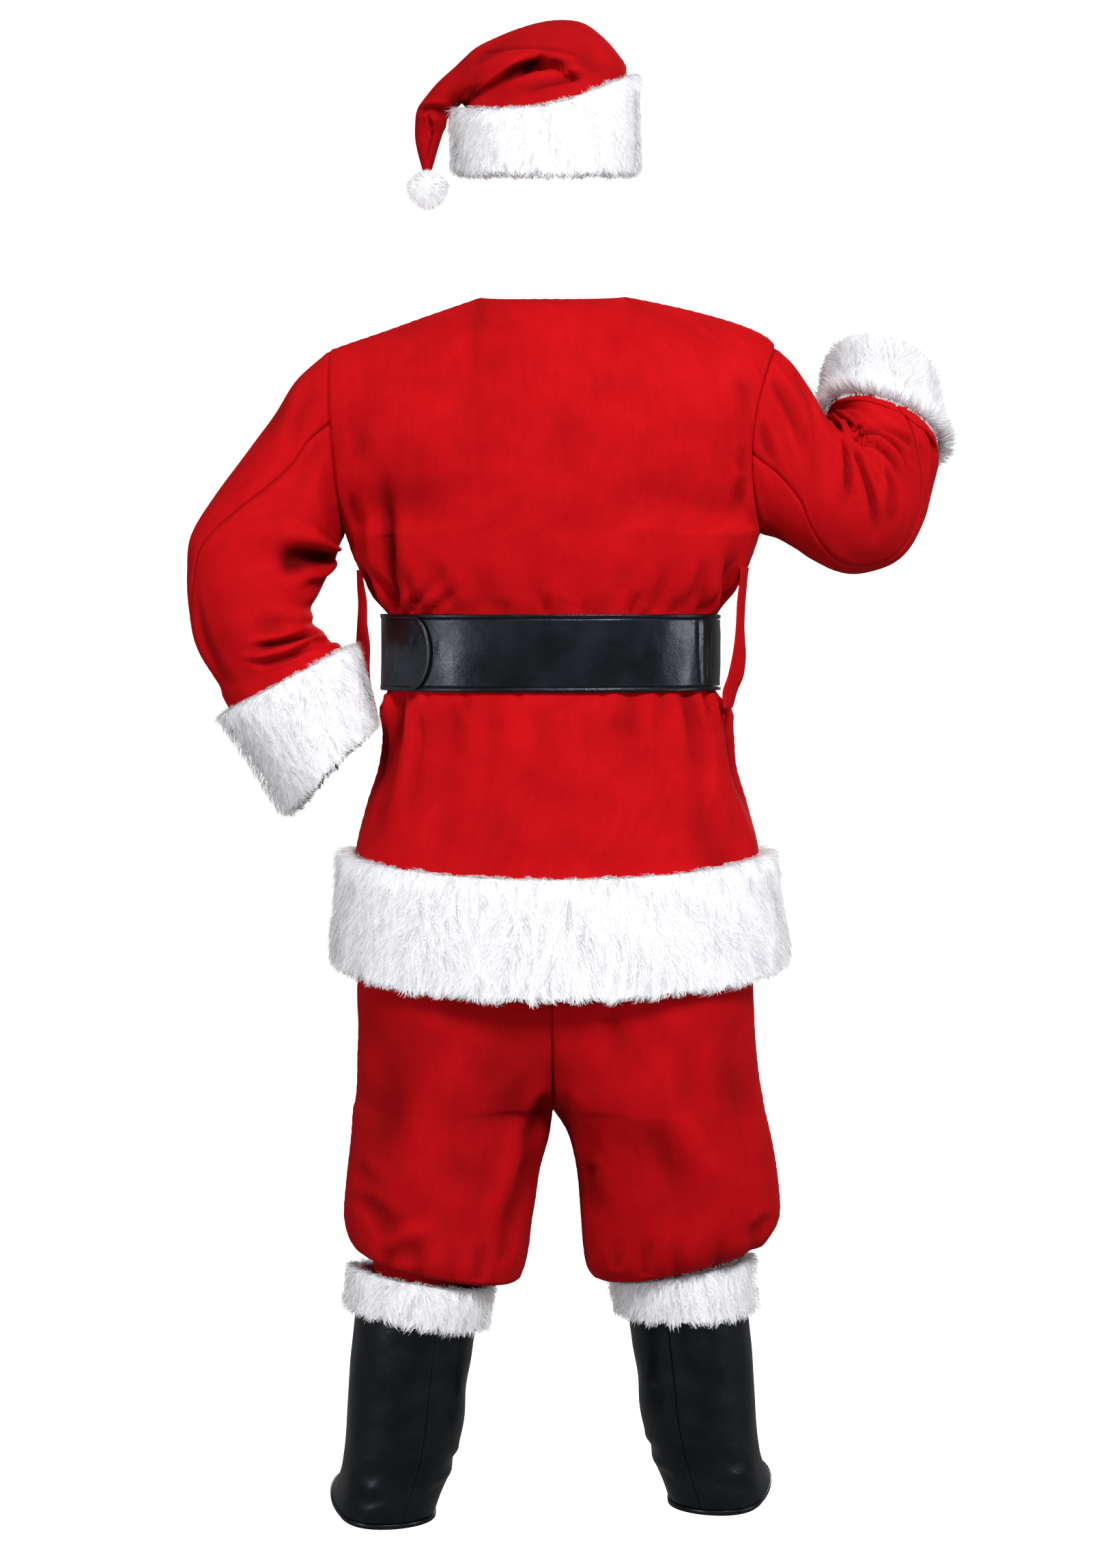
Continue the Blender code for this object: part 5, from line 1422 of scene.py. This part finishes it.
@dataclass
class Trousers:
    """Four leg panels that blouse over the boot tops, and the waistband under the jacket."""

    wardrobe: Wardrobe
    legs: ClassVar[dict[Side, Table]] = {
        Side.LEFT: table("z outer inner back front seam_back seam_front y tilt", [
            (-396, -177, 0, -92, 116, -100, 121, 0, 0), (-470, -187, 0, -98, 122, -106, 128, 0, 0),
            (-600, -208, 0, -126, 134, -130, 136, 0, 0), (-740, -227, 0, -137, 138, -141, 140, 0, 0),
            (-800, -236, 0, -137, 136, -139, 136, 0, 0), (-870, -236, 0, -131, 130, -122, 118, 0, 0),
            (-915, -237, 0, -125, 124, -88, 84, 0, 0), (-943, -239, 0, -121, 121, -44, 40, 0, 0),
            (-956, -242, 0, -119, 119, 0, 0, 0, 0), (-990, -245, -5, -115, 116, 0, 0, -3, 0),
            (-1030, -249, -16, -112, 113, 0, 0, -6, 1), (-1080, -253, -24, -110, 110, 0, 0, -9, 4),
            (-1108, -251, -28, -109, 108, 0, 0, -12, 12), (-1130, -245, -35, -104, 104, 0, 0, -16, 18),
            (-1142, -235, -46, -93, 93, 0, 0, -20, 19), (-1138, -226, -80, -71, 72, 0, 0, -24, 15),
            (-1145, -217, -99, -60, 62, 0, 0, -25, 7), (-1168, -216, -101, -58, 60, 0, 0, -25, 0)]),
        Side.RIGHT: table("z outer inner back front seam_back seam_front y tilt", [
            (-396, 177, 0, -92, 116, -100, 121, 0, 0), (-470, 187, 0, -98, 122, -106, 128, 0, 0),
            (-600, 210, 0, -126, 134, -130, 136, 0, 0), (-740, 231, 0, -137, 138, -141, 140, 0, 0),
            (-800, 243, 0, -137, 136, -139, 136, 0, 0), (-870, 246, 0, -131, 130, -122, 118, 0, 0),
            (-915, 251, 0, -125, 124, -88, 84, 0, 0), (-943, 256, 0, -121, 121, -44, 40, 0, 0),
            (-956, 258, 0, -119, 119, 0, 0, 0, 0), (-990, 266, 19, -115, 116, 0, 0, 5, 0),
            (-1030, 273, 29, -113, 114, 0, 0, 12, 3), (-1082, 278, 34, -112, 112, 0, 0, 19, 9),
            (-1112, 277, 37, -111, 110, 0, 0, 25, 16), (-1134, 269, 43, -106, 106, 0, 0, 30, 21),
            (-1147, 254, 58, -94, 94, 0, 0, 33, 22), (-1142, 234, 84, -71, 72, 0, 0, 35, 17),
            (-1148, 217, 100, -60, 62, 0, 0, 35, 8), (-1170, 216, 102, -58, 60, 0, 0, 35, 0)])}
    hip_row: float = 4.0
    tucked_row: float = 13.6
    # painted shade: each leg darkened as a whole, the left one more, as it stands in less light
    dull: ClassVar[dict[Side, float]] = {Side.LEFT: 0.26, Side.RIGHT: 0.10}
    # creases by x and by a height that goes on downwards where the legs turn under: 44 a row
    folds: ClassVar[dict[tuple[Side, Face], Table]] = {
        (Side.LEFT, Face.BACK): table(CREASE, [
            (-8, -922, -42, -1012, 4, 11, -5.6, 0.2, 0.5), (-22, -990, -48, -1103, -4, 11, -5, 0.3, 0.4),
            (-34, -960, -66, -1093, -6, 12, 3.1, 0.3, 0.5), (-20, -890, -64, -1000, -6, 18, -2.4, 0.3, 0.6),
            (-62, -830, -84, -1000, 6, 30, -2.8, 0.4, 0.6), (-206, -1121, -138, -1105, 5, 10, -3.6, 0.2, 0.6),
            (-192, -1097, -124, -1075, 5, 10, 2.8, 0.3, 0.6), (-238, -1050, -176, -1099, 6, 11, -4, 0.2, 0.6),
            (-236, -1010, -196, -1050, -4, 12, -2.8, 0.3, 0.6),
            (-186, -860, -212, -1040, 8, 26, -3.1, 0.4, 0.6),
            (-150, -900, -160, -1073, -8, 22, 2.2, 0.4, 0.6), (-160, -1139, -150, -1075, 3, 9, -2.2, 0, 0.8),
            (-120, -1141, -108, -1083, 3, 9, -2.2, 0, 0.8), (-90, -1141, -84, -1089, -2, 8, -3.1, 0, 0.8),
            (-196, -1135, -202, -1093, -2, 8, -2.8, 0, 0.8),
            (-62, -1129, -56, -1030, -4, 9, -3.7, 0.1, 0.7)]),
        (Side.RIGHT, Face.BACK): table(CREASE, [
            (10, -922, 34, -1000, -3, 11, -5, 0.2, 0.5), (68, -826, 80, -900, 3, 14, -3.7, 0.1, 0.6),
            (160, -850, 170, -985, -4, 16, -3.2, 0.2, 0.6), (112, -930, 186, -1100, -12, 22, -3.6, 0.3, 0.5),
            (146, -940, 196, -1040, -8, 16, 3.1, 0.3, 0.5), (36, -1020, 52, -1034, 3, 9, -3.7, 0.2, 0.6),
            (36, -1000, 62, -1099, -6, 13, -4, 0.3, 0.5), (64, -960, 92, -1089, -6, 14, 2.5, 0.3, 0.5),
            (206, -850, 228, -1010, 6, 24, -3.4, 0.4, 0.6), (100, -870, 116, -980, -5, 26, 2.5, 0.4, 0.6),
            (150, -1143, 146, -1083, 3, 9, -3.4, 0, 0.8), (110, -1143, 116, -1093, 2, 8, -3.4, 0, 0.8),
            (196, -1141, 206, -1079, -2, 9, -3.4, 0, 0.8), (238, -1131, 242, -1071, -3, 9, -3.1, 0, 0.8),
            (264, -1079, 222, -1107, 4, 10, -3.7, 0.2, 0.6), (76, -1137, 82, -1093, 2, 8, -3.1, 0, 0.8)]),
        (Side.LEFT, Face.FRONT): table(CREASE, [
            (-10, -926, -58, -1000, 4, 12, -4.7, 0.2, 0.5), (-24, -870, -100, -930, -6, 16, -3.1, 0.3, 0.6),
            (-130, -1004, -196, -1028, 6, 15, -4, 0.3, 0.6),
            (-56, -1024, -112, -1038, -4, 12, -3.7, 0.3, 0.6),
            (-204, -1119, -146, -1103, 5, 10, -4.3, 0.2, 0.6), (-160, -1139, -152, -1079, 3, 9, -3.4, 0, 0.8),
            (-112, -1141, -104, -1083, 3, 9, -3.7, 0, 0.8), (-70, -1135, -64, -1083, -2, 8, -3.1, 0, 0.8),
            (-206, -1135, -214, -1083, -2, 8, -2.8, 0, 0.8),
            (-166, -840, -190, -1000, 8, 28, -2.8, 0.4, 0.6)]),
        (Side.RIGHT, Face.FRONT): table(CREASE, [
            (10, -926, 60, -1006, -4, 12, -4.7, 0.2, 0.5), (30, -876, 112, -930, 6, 16, -3.1, 0.3, 0.6),
            (150, -1008, 214, -1026, -6, 15, -4, 0.3, 0.6), (80, -1030, 132, -1044, 4, 12, -3.1, 0.3, 0.6),
            (232, -1111, 174, -1099, 5, 10, -4, 0.2, 0.6), (158, -1143, 154, -1081, 3, 9, -3.4, 0, 0.8),
            (116, -1143, 110, -1087, 3, 8, -3.7, 0, 0.8), (200, -1139, 206, -1077, -2, 9, -3.4, 0, 0.8),
            (78, -1137, 84, -1093, -2, 8, -3.1, 0, 0.8), (190, -850, 206, -1000, -8, 28, -2.8, 0.4, 0.6)])}

    def leg(self, side: Side, face: Face, m: Array, k: Array) -> Array:
        """Half of a leg's section: an ellipse, whose inner half runs to the middle seam above the crotch.

        Args:
            side: Which leg.
            face: Its back or its front.
            m: From the side seam (0) to the inner seam (1).
            k: Row of the leg's table.

        Returns:
            Points of the outer face.
        """
        row = by_row(self.legs[side], k)
        depth, seam = row[face.name.lower()], row["seam_" + face.name.lower()]
        a = math.pi * m
        x = between(row, "outer", "inner", -np.cos(a))
        y = np.where(m < 0.5, depth * np.sin(a), seam + (depth - seam) * np.sin(a))
        return stack(x, y + row["y"], row["z"] + row["tilt"] * np.cos(a))

    def make(self) -> None:
        """Make and dress the panels and the waistband."""
        panels = []
        for (side, face), folds in self.folds.items():
            last = len(self.legs[side]["z"]) - 1
            k = np.concatenate([np.linspace(0, self.hip_row, 28, endpoint=False),
                                np.linspace(self.hip_row, last, 106)])[:, None]
            grid = self.leg(side, face, crowded(0, 1, 62, 0.4)[None, :], k)
            m = np.linspace(0, 1, 12)[None, :]
            whole = np.concatenate([self.leg(side, each, m, k) for each in Face], axis=1)
            core = whole.mean(axis=1, keepdims=True)
            place = f"{side.word}_{face.name.lower()}"
            # painted shade over the whole leg panel, by its leg's share above
            panels.append(Panel(
                f"trouser_cloth_{place}", f"trouser_{place}", grid, core, (grid[..., 0], grid[..., 2]), folds,
                VELVET, ("first row", "first column", "last column"), seed=51,
                ceiling=np.where(k > self.tucked_row, -0.5, 6.0), dull=self.dull[side]))
        dress_together(panels, self.wardrobe.velvet)
        self.make_waistband()

    def make_waistband(self) -> None:
        """Band carried round the top of the panels, its cloth in small gathers over the elastic."""
        m = np.linspace(0, 1, 60)
        top = {(side, face): self.leg(side, face, m, np.zeros(60)) for side in Side for face in Face}
        ring = np.concatenate([top[Side.LEFT, Face.BACK], top[Side.RIGHT, Face.BACK][-2::-1],
                               top[Side.RIGHT, Face.FRONT][1:], top[Side.LEFT, Face.FRONT][-2:0:-1]])
        away = unit(ring * LEVEL)
        gather = 0.5 * np.sin(np.arange(len(ring)) * 2 * math.pi / 7)[:, None]
        section = np.array([(0.3, 0.2), (0.6, 2.0), (0.5, 15.0), (0.6, 32.0), (0.0, 34.0), (-2.2, 34.0),
                            (-2.8, 32), (-2.8, 2), (-2.4, 0.2)])
        swing = gather * np.array([0, 0.4, 1, 0.4, 0, 0, 0, 0, 0.0])
        section = np.stack(np.broadcast_arrays(section[:, 0] + swing, section[:, 1]), axis=-1)
        ring_tube("trouser_waist_cloth", swept(ring, away, UP, section), self.wardrobe.velvet,
                  "trouser_waistband")


# ---------------------------------------------------------------- boot tops

@dataclass
class BootTops:
    """Leatherette boot tops: two panels each, a bound hem over the instep and a band of fur."""

    wardrobe: Wardrobe
    rows: ClassVar[Table] = table("z centre width heel toe rise", [
        (-1160, 159, 73, 71, 75, 0), (-1214, 166, 74, 71, 75, 0), (-1290, 174, 72, 69, 75, 0),
        (-1345, 179, 70, 65, 77, 0), (-1395, 188, 64, 58, 86, 8), (-1425, 196, 60, 54, 104, 18),
        (-1442, 200, 59, 52, 116, 26)])
    place_y: ClassVar[dict[Side, float]] = {Side.LEFT: -25.0, Side.RIGHT: 35.0}
    # the fur band: height of its top, its depth, and how much higher its outer side is at top and foot
    fur_band: ClassVar[dict[Side, tuple[float, float, float, float]]] = {
        Side.LEFT: (-1157.0, 46.0, 13.0, 14.0), Side.RIGHT: (-1159.0, 48.0, 15.0, 2.0)}
    toe_out: float = math.radians(23)
    # the leather is flat under the trousers above the first height and under the tape below the second
    bare: tuple[float, float] = (-1213.0, -1434.0)
    seam_half: float = 0.045
    # creases by the angle round the shaft (degrees, 0 toe, 90 outside, 180 heel) and by height
    folds: ClassVar[Table] = table(CREASE, [
        (150, -1372, 96, -1384, 6, 10, -2, 0.4, 0.6), (196, -1352, 150, -1360, -4, 9, -1.8, 0.4, 0.6),
        (60, -1390, 6, -1372, 8, 9, -3.4, 0.3, 0.6), (-60, -1390, -6, -1372, -8, 9, -3.4, 0.3, 0.6),
        (40, -1350, -40, -1352, 6, 10, -3, 0.4, 0.4), (-96, -1376, -150, -1366, 6, 8, -3, 0.3, 0.6),
        (120, -1240, 100, -1330, 6, 16, -2, 0.4, 0.6), (-120, -1250, -96, -1330, -6, 16, -2, 0.4, 0.6),
        (170, -1300, 130, -1336, 5, 11, -1.8, 0.3, 0.6), (-170, -1290, -140, -1326, 5, 11, -1.8, 0.3, 0.6),
        (160, -1406, 110, -1414, 4, 7, -1.8, 0.3, 0.6), (-160, -1406, -110, -1414, 4, 7, -1.8, 0.3, 0.6)])

    def boot(self, side: Side, a: Array, z: Array, lift: Array | float = 0.0) -> Array:
        """Section of the boot top: an oval longer towards the toe, turned out with the foot.

        Args:
            side: Which foot.
            a: Angle: 0 at the toe, a quarter turn outside, half a turn at the heel.
            z: Height of the row.
            lift: How much higher the outer side is.

        Returns:
            Points of the outer face.
        """
        row = by_height(self.rows, z)
        reach = np.where(np.cos(a) > 0, row["toe"], row["heel"]) * np.cos(a)
        wide = row["width"] * np.sin(a)
        cos, sin = math.cos(self.toe_out), math.sin(self.toe_out)
        x = side.value * (row["centre"] + wide * cos + reach * sin)
        y = self.place_y[side] + reach * cos - wide * sin
        rise = row["rise"] * ((1 + np.cos(a)) / 2) ** 2 + lift * np.sin(a)
        return stack(x, y, z + rise)

    def make(self) -> None:
        """Make and dress both boot tops."""
        for side in Side:
            z = np.linspace(self.rows["z"][0], self.rows["z"][-1], 88)[:, None]
            core = self.boot(side, np.linspace(0, 2 * math.pi, 24)[None, :-1], z).mean(axis=1, keepdims=True)
            panels = []
            for name, sign in (("outer", 1), ("inner", -1)):
                a = sign * crowded(0, math.pi, 56, 0.6)[None, :]
                grid = self.boot(side, a, z)
                places = (np.degrees(a) + 0 * z, z + 0 * a)
                under = (z > self.bare[0]) | (z < self.bare[1])
                node = f"boot_{side.word}_{name}"
                panels.append(Panel(node + "_leather", node, grid, core, places, self.folds, LEATHER,
                                    ("first column", "last column"), seed=61,
                                    ceiling=np.where(under, 0.3, 3.0)))
            dress_together(panels, self.wardrobe.leatherette)
            self.make_hem(side)
            self.make_seams(side)

            def ground(a: Array, v: Array, side: Side = side) -> Array:
                top, depth, tilt, foot_tilt = self.fur_band[side]
                return self.boot(side, 2 * math.pi * a, top - depth * v, lift=tilt + (foot_tilt - tilt) * v)

            fur = FurBand(f"boot_fur_backing_{side.word}", f"boot_{side.word}_fur", ground, 80,
                          Pile(height=15.0), seam=0.5)
            fur.make(self.wardrobe, WHOLE, seed=71 + side.value)

    def make_hem(self, side: Side) -> None:
        """Tape folded round the lower edge, and the row of stitches that holds it."""
        a = circle(180)
        foot = np.full_like(a, self.rows["z"][-1])
        hem = self.boot(side, a, foot)
        across = self.boot(side, a + 1e-3, foot) - self.boot(side, a - 1e-3, foot)
        down = self.boot(side, a, foot - 0.01) - self.boot(side, a, foot + 0.01)
        out = unit(np.cross(across, down))
        out = out * np.sign(np.sum(out * (hem - hem.mean(axis=0))))
        section = np.array([(0.5, 0.2), (1.0, -0.3), (1.1, -2.8), (0.9, -5.0), (-0.9, -6.1), (-2.6, -5.2),
                            (-2.8, -2.8), (-2.4, 0.2)])
        ring_tube(f"boot_{side.word}_hem_tape", swept(hem, out, UP, section), self.wardrobe.leatherette,
                  f"boot_{side.word}_binding")
        seam = np.concatenate([hem, hem[:1]]) + np.concatenate([out, out[:1]]) * 1.25 - np.array((0, 0, 1.2))
        stitches(f"boot_{side.word}_hem_stitches", seam, np.concatenate([out, out[:1]]),
                 self.wardrobe.thread)

    def make_seams(self, side: Side) -> None:
        """Two rows of stitches along the seams at heel and toe."""
        z = np.linspace(self.bare[0] + 1, self.rows["z"][-1] + 4, 80)
        for name, middle in (("heel", math.pi), ("toe", 0.0)):
            for row, shift in (("a", -self.seam_half), ("b", self.seam_half)):
                a = np.full_like(z, middle + shift)
                path = self.boot(side, a, z)
                across = self.boot(side, a + 1e-3, z) - self.boot(side, a - 1e-3, z)
                out = unit(np.cross(across, np.gradient(path, axis=0)))
                inside = np.array((side.value * 185.0, self.place_y[side], 0.0))
                out = out * np.sign(np.sum(out * (path - inside) * LEVEL))
                stitches(f"boot_{side.word}_{name}_stitches_{row}", path + out * 0.3, out,
                         self.wardrobe.thread)


# ---------------------------------------------------------------- hat

@dataclass
class Hat:
    """Two crown panels that fold over the left side, a fur band and a pompom."""

    wardrobe: Wardrobe
    rows: ClassVar[Table] = table(
        "outer_x outer_z inner_x inner_z half lean sag turn", [
            (86, 282, -103, 236, 108, 15, 22, -30), (90, 307, -106, 254, 110, 16, 24, -30),
            (80, 324, -110, 262, 106, 14, 16, -34), (60, 346, -113, 266, 98, 11, 8, -38),
            (36, 362, -114, 268, 89, 8, 2, -42), (4, 365, -115, 268, 80, 5, 0, -44),
            (-33, 357, -116, 266, 70, 3, 0, -44), (-66, 343, -118, 262, 60, 0, 0, -42),
            (-97, 327, -121, 258, 50, 0, 0, -38), (-130, 297, -123, 254, 41, 0, 0, -26),
            (-151, 276, -125, 250, 34, 0, 0, -12), (-165, 255, -127, 244, 27, 0, 0, -2),
            (-167, 228, -133, 228, 18, 0, 0, 0), (-164, 205, -140, 206, 12, 0, 0, 0),
            (-158, 182, -147, 182, 5, 0, 0, 0)])
    flap: ClassVar[Table] = table("x edge foot", [
        (-118, 253, 253), (-106, 259, 251), (-64, 289, 249), (-14, 311, 256), (12, 298, 265),
        (38, 281, 276)])
    flap_depth: float = 34.0
    band_centre: float = -8.5
    band_half: tuple[float, float] = (99.0, 111.5)
    band_top: ClassVar[Table] = table("x z", [
        (-120, 254), (-50, 255), (0, 260), (50, 279), (100, 300)])
    band_foot: float = 182.0
    tilt: float = 0.14
    pompom: tuple[float, float, float] = (-152.0, 0.0, 163.0)
    pompom_reach: float = 28.0
    pompom_blades: int = 6500
    pompom_root: float = 9.0
    pompom_core: float = 15.0
    folds: ClassVar[Table] = table(CREASE, [
        (-92, 317, 46, 307, 7, 2.6, -3.4, 0.1, 0.2), (-100, 300, -24, 328, 7, 9, -3.5, 0.2, 0.6),
        (-64, 280, -6, 300, 4, 6, -7, 0.3, 0.25), (-38, 288, -10, 297, 2, 4, -6, 0.3, 0.3),
        (-116, 249, -82, 276, 3, 6, -7, 0.2, 0.5), (-6, 300, 30, 284, 3, 6, -3.5, 0.2, 0.4),
        (36, 282, -58, 257, -7, 6, -4.5, 0.15, 0.6), (44, 292, -44, 268, -7, 6, 3.5, 0.2, 0.6),
        (60, 288, 28, 336, 6, 12, -3, 0.2, 0.7), (-160, 253, -124, 245, 3, 5, -5, 0.05, 0.2),
        (-150, 246, -145, 226, 0, 2.4, -3.5, 0, 0), (-145, 226, -152, 186, 0, 2.2, -3.5, 0, 0.3)])

    def crown(self, a: Array, k: Array) -> Array:
        """Ring k of the crown: an ellipse leaning about the crease on the left, tucked under its flap.

        Args:
            a: Angle: 0 at the crease, a quarter turn behind, half a turn on the outside.
            k: Row of the hat's table.

        Returns:
            Points of the outer face.
        """
        row = by_row(self.rows, k)
        angle = a + np.radians(row["turn"])
        near = np.sin(angle)
        x = between(row, "outer_x", "inner_x", np.cos(angle))
        z = between(row, "outer_z", "inner_z", np.cos(angle)) - row["lean"] * near - row["sag"] * near**2
        edge, foot = (np.interp(x, self.flap["x"], self.flap[name]) for name in ("edge", "foot"))
        height = np.maximum(edge - foot, 1)
        share = np.clip((z - foot) / height, 0, 1)
        tuck = self.flap_depth * share * ease((1 - share) / 0.25) * ease(height / 40) * (near > 0)
        return stack(x, tuck - row["half"] * near, z)

    def band(self, a: Array, v: Array) -> Array:
        """Ground of the fur band: an oval round the head, higher on the right and lower behind."""
        angle = 2 * math.pi * a
        x = self.band_centre - self.band_half[0] * np.cos(angle)
        y = -self.band_half[1] * np.sin(angle)
        top = smooth(x, self.band_top["x"], self.band_top["z"])
        return stack(x, y, top + (self.band_foot - top) * v + self.tilt * y)

    def make(self) -> None:
        """Make and dress the crown, its seams, the band and the pompom."""
        k = np.linspace(0, len(self.rows["half"]) - 1, 112)[:, None]
        middle = self.crown(np.linspace(0, 2 * math.pi, 32)[None, :-1], k).mean(axis=1, keepdims=True)
        start = math.pi / 2 + math.pi / 6
        panels = []
        for name, turn in (("back", 0.0), ("front", -math.pi)):
            a = crowded(start + math.pi / 2, start - math.pi / 2, 78, 0.3)[None, :] + turn
            grid = self.crown(a, k)
            # painted shade: the crown is darkened as a whole, as it stands in less light
            panels.append(Panel(
                f"hat_{name}_cloth", f"hat_panel_{name}", grid, middle, (grid[..., 0], grid[..., 2]),
                self.folds, HAT_VELVET, ("first column", "last column"), seed=81, dull=0.3))
        dress_together(panels, self.wardrobe.velvet)
        fur = FurBand("hat_band_backing", "hat_fur_band", self.band, 110, Pile(height=15.0))
        fur.make(self.wardrobe, {"back_pile": (0.0, 0.5), "front_pile": (0.5, 1.0)}, seed=91)
        self.make_pompom()

    def make_pompom(self) -> None:
        """Tuft of fur: blades from a small ball, set by a golden spiral, shorter where the tip is sewn on."""
        chance = np.random.default_rng(95)
        count = self.pompom_blades
        index = np.arange(count) + 0.5
        up = 1 - 2 * index / count
        turn = index * math.pi * (3 - math.sqrt(5))
        away = stack(np.sqrt(1 - up**2) * np.cos(turn), np.sqrt(1 - up**2) * np.sin(turn), up)
        away = unit(away + chance.uniform(-0.05, 0.05, (count, 3)))
        place = np.array(self.pompom)
        lock = np.sin(7 * away[:, 0] + 2) + np.sin(8 * away[:, 1]) + np.sin(7 * away[:, 2] + 1)
        reach = self.pompom_reach - 4.0 * np.clip(away[:, 2], 0, 1) ** 2
        reach = reach * (0.92 + 0.03 * lock + chance.uniform(-0.10, 0.07, count))
        root = place + away * self.pompom_root
        beside = unit(np.cross(away, chance.uniform(-1, 1, (count, 3))))
        middle = place + away * (self.pompom_root + 0.5 * (reach[:, None] - self.pompom_root)) + beside * 1.5
        tip = place + away * reach[:, None] + beside * 4.0 - 2.5 * UP
        blades("pompom_pile", root, middle, tip, away, unit(np.cross(away, beside)), 1.3, chance,
               self.wardrobe.fur)
        polar = np.linspace(0.02, math.pi - 0.02, 24)[None, :]
        around = circle(36)[:, None]
        radius = self.pompom_core + 0.8 * np.sin(7 * around) * np.sin(5 * polar)
        ball = stack(np.sin(polar) * np.cos(around), np.sin(polar) * np.sin(around), np.cos(polar))
        flat = (place + ball * radius[..., None]).reshape(-1, 3)
        faces = facing(flat, grid_faces(36, 24, True, False), flat - place)
        caps = np.stack([np.arange(36) * 24, (np.arange(36) * 24 + 23)[::-1]])
        mesh_object("pompom_core", flat, [faces, caps], np.zeros((len(flat), 2)), self.wardrobe.backing,
                    "hat_pompom")


# ---------------------------------------------------------------- studio

@dataclass
class Studio:
    """Pale cove, soft lights and the camera behind the suit; its sizes are in metres."""

    floor_z: float = -1.506
    distance: float = 4.0
    eye: tuple[float, float] = (-0.005, -0.332)
    frame_height: float = 1.906
    below_horizon: float = 0.231
    sky: float = 0.19
    # for each light its place and the height it looks at, both in metres, the length of its side, and watts
    lights: ClassVar[dict[str, tuple[tuple[float, float, float], float, float, float]]] = {
        "key": ((1.2, -3.8, 2.6), -0.4, 1.2, 226.0), "left": ((-3.3, -3.1, -0.2), -0.5, 0.8, 70.0),
        "right": ((4.0, -1.45, -0.2), -0.5, 0.8, 46.0), "top": ((0.2, 0.2, 2.8), -0.5, 1.4, 8.0),
        "front": ((0.8, 4.2, 0.8), -0.5, 2.0, 95.0)}

    def make_floor(self) -> None:
        """Pale floor: flat for 7 m, a quarter round of 2.5 m and a wall, turned about the upright axis."""
        t = np.linspace(0, 1, 60)
        angle = np.clip((t - 0.35) / 0.4, 0, 1) * math.pi / 2
        reach = np.where(t < 0.35, 0.05 + 6.95 * t / 0.35, 7.0 + 2.5 * np.sin(angle))
        height = np.where(t > 0.75, 2.5 + 8.0 * (t - 0.75) / 0.25, 2.5 * (1 - np.cos(angle)))
        turn = circle(48)[:, None]
        points = stack(reach * np.cos(turn), reach * np.sin(turn), self.floor_z + height[None, :])
        points = points.reshape(-1, 3)
        inwards = np.array((0.0, 0.0, 9.0)) - points * LEVEL
        faces = facing(points, grid_faces(48, 60, True, False), inwards)
        mesh = bpy.data.meshes.new("studio_floor")
        mesh.from_pydata(points.tolist(), [], faces.tolist() + [list(range(0, 48 * 60, 60))])
        mesh.shade_smooth()
        finish, tree, shader = blank("pale_paper")
        feed(tree, shader, {"Base Color": linear("#F4F4F4"), "Roughness": 0.9,
                            "Emission Color": linear("#FFFFFF"), "Emission Strength": 0.95})
        mesh.materials.append(finish)
        floor = new_object("studio_floor", mesh)
        floor.visible_diffuse = floor.visible_glossy = floor.visible_shadow = False

    def light(self, name: str, place: tuple[float, float, float], target: tuple[float, float, float],
              size: float, power: float) -> None:
        """One square soft light turned towards a target.

        Args:
            name: Its name.
            place: Where it stands, in metres.
            target: What it looks at.
            size: Length of its side.
            power: Watts.
        """
        data = bpy.data.lights.new(name, "AREA")
        data.shape = "SQUARE"
        data.size = size
        data.energy = power
        lamp = new_object(name, data)
        lamp.location = place
        lamp.rotation_euler = (Vector(target) - Vector(place)).to_track_quat("-Z", "Y").to_euler()

    def make_camera(self) -> None:
        """Level camera behind the suit, shifted down by the frame's own offset."""
        data = bpy.data.cameras.new("camera")
        data.sensor_fit = "VERTICAL"
        data.sensor_height = 24.0
        data.lens = 24.0 * self.distance / self.frame_height
        data.shift_y = -self.below_horizon / self.frame_height
        camera = new_object("camera", data)
        camera.location = (self.eye[0], -self.distance, self.eye[1])
        camera.rotation_euler = (math.pi / 2, 0.0, 0.0)
        bpy.context.scene.camera = camera

    def make(self) -> None:
        """Build the studio."""
        self.make_floor()
        for name, (place, target_z, size, power) in self.lights.items():
            self.light(name, place, (0.0, 0.0, target_z), size, power)
        world = bpy.data.worlds.new("soft_sky")
        world.use_nodes = True
        feed(world.node_tree, world.node_tree.nodes["Background"], {
            "Color": linear("#FFFFFF"), "Strength": self.sky})
        bpy.context.scene.world = world
        bpy.context.scene.view_settings.view_transform = "Standard"
        self.make_camera()


# ---------------------------------------------------------------- everything


def main() -> None:
    """Load the frame, set the studio, and dress the suit piece by piece; the log gives each part and its
    triangles.
    """
    logging.basicConfig(level=logging.INFO, format="%(name)s: %(message)s")
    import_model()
    Studio().make()
    wardrobe = Wardrobe()
    for part in (Jacket(wardrobe), Belt(wardrobe), Trousers(wardrobe), BootTops(wardrobe), Hat(wardrobe)):
        LOG.info("making the %s", type(part).__name__)
        part.make()


if __name__ == "__main__":
    main()
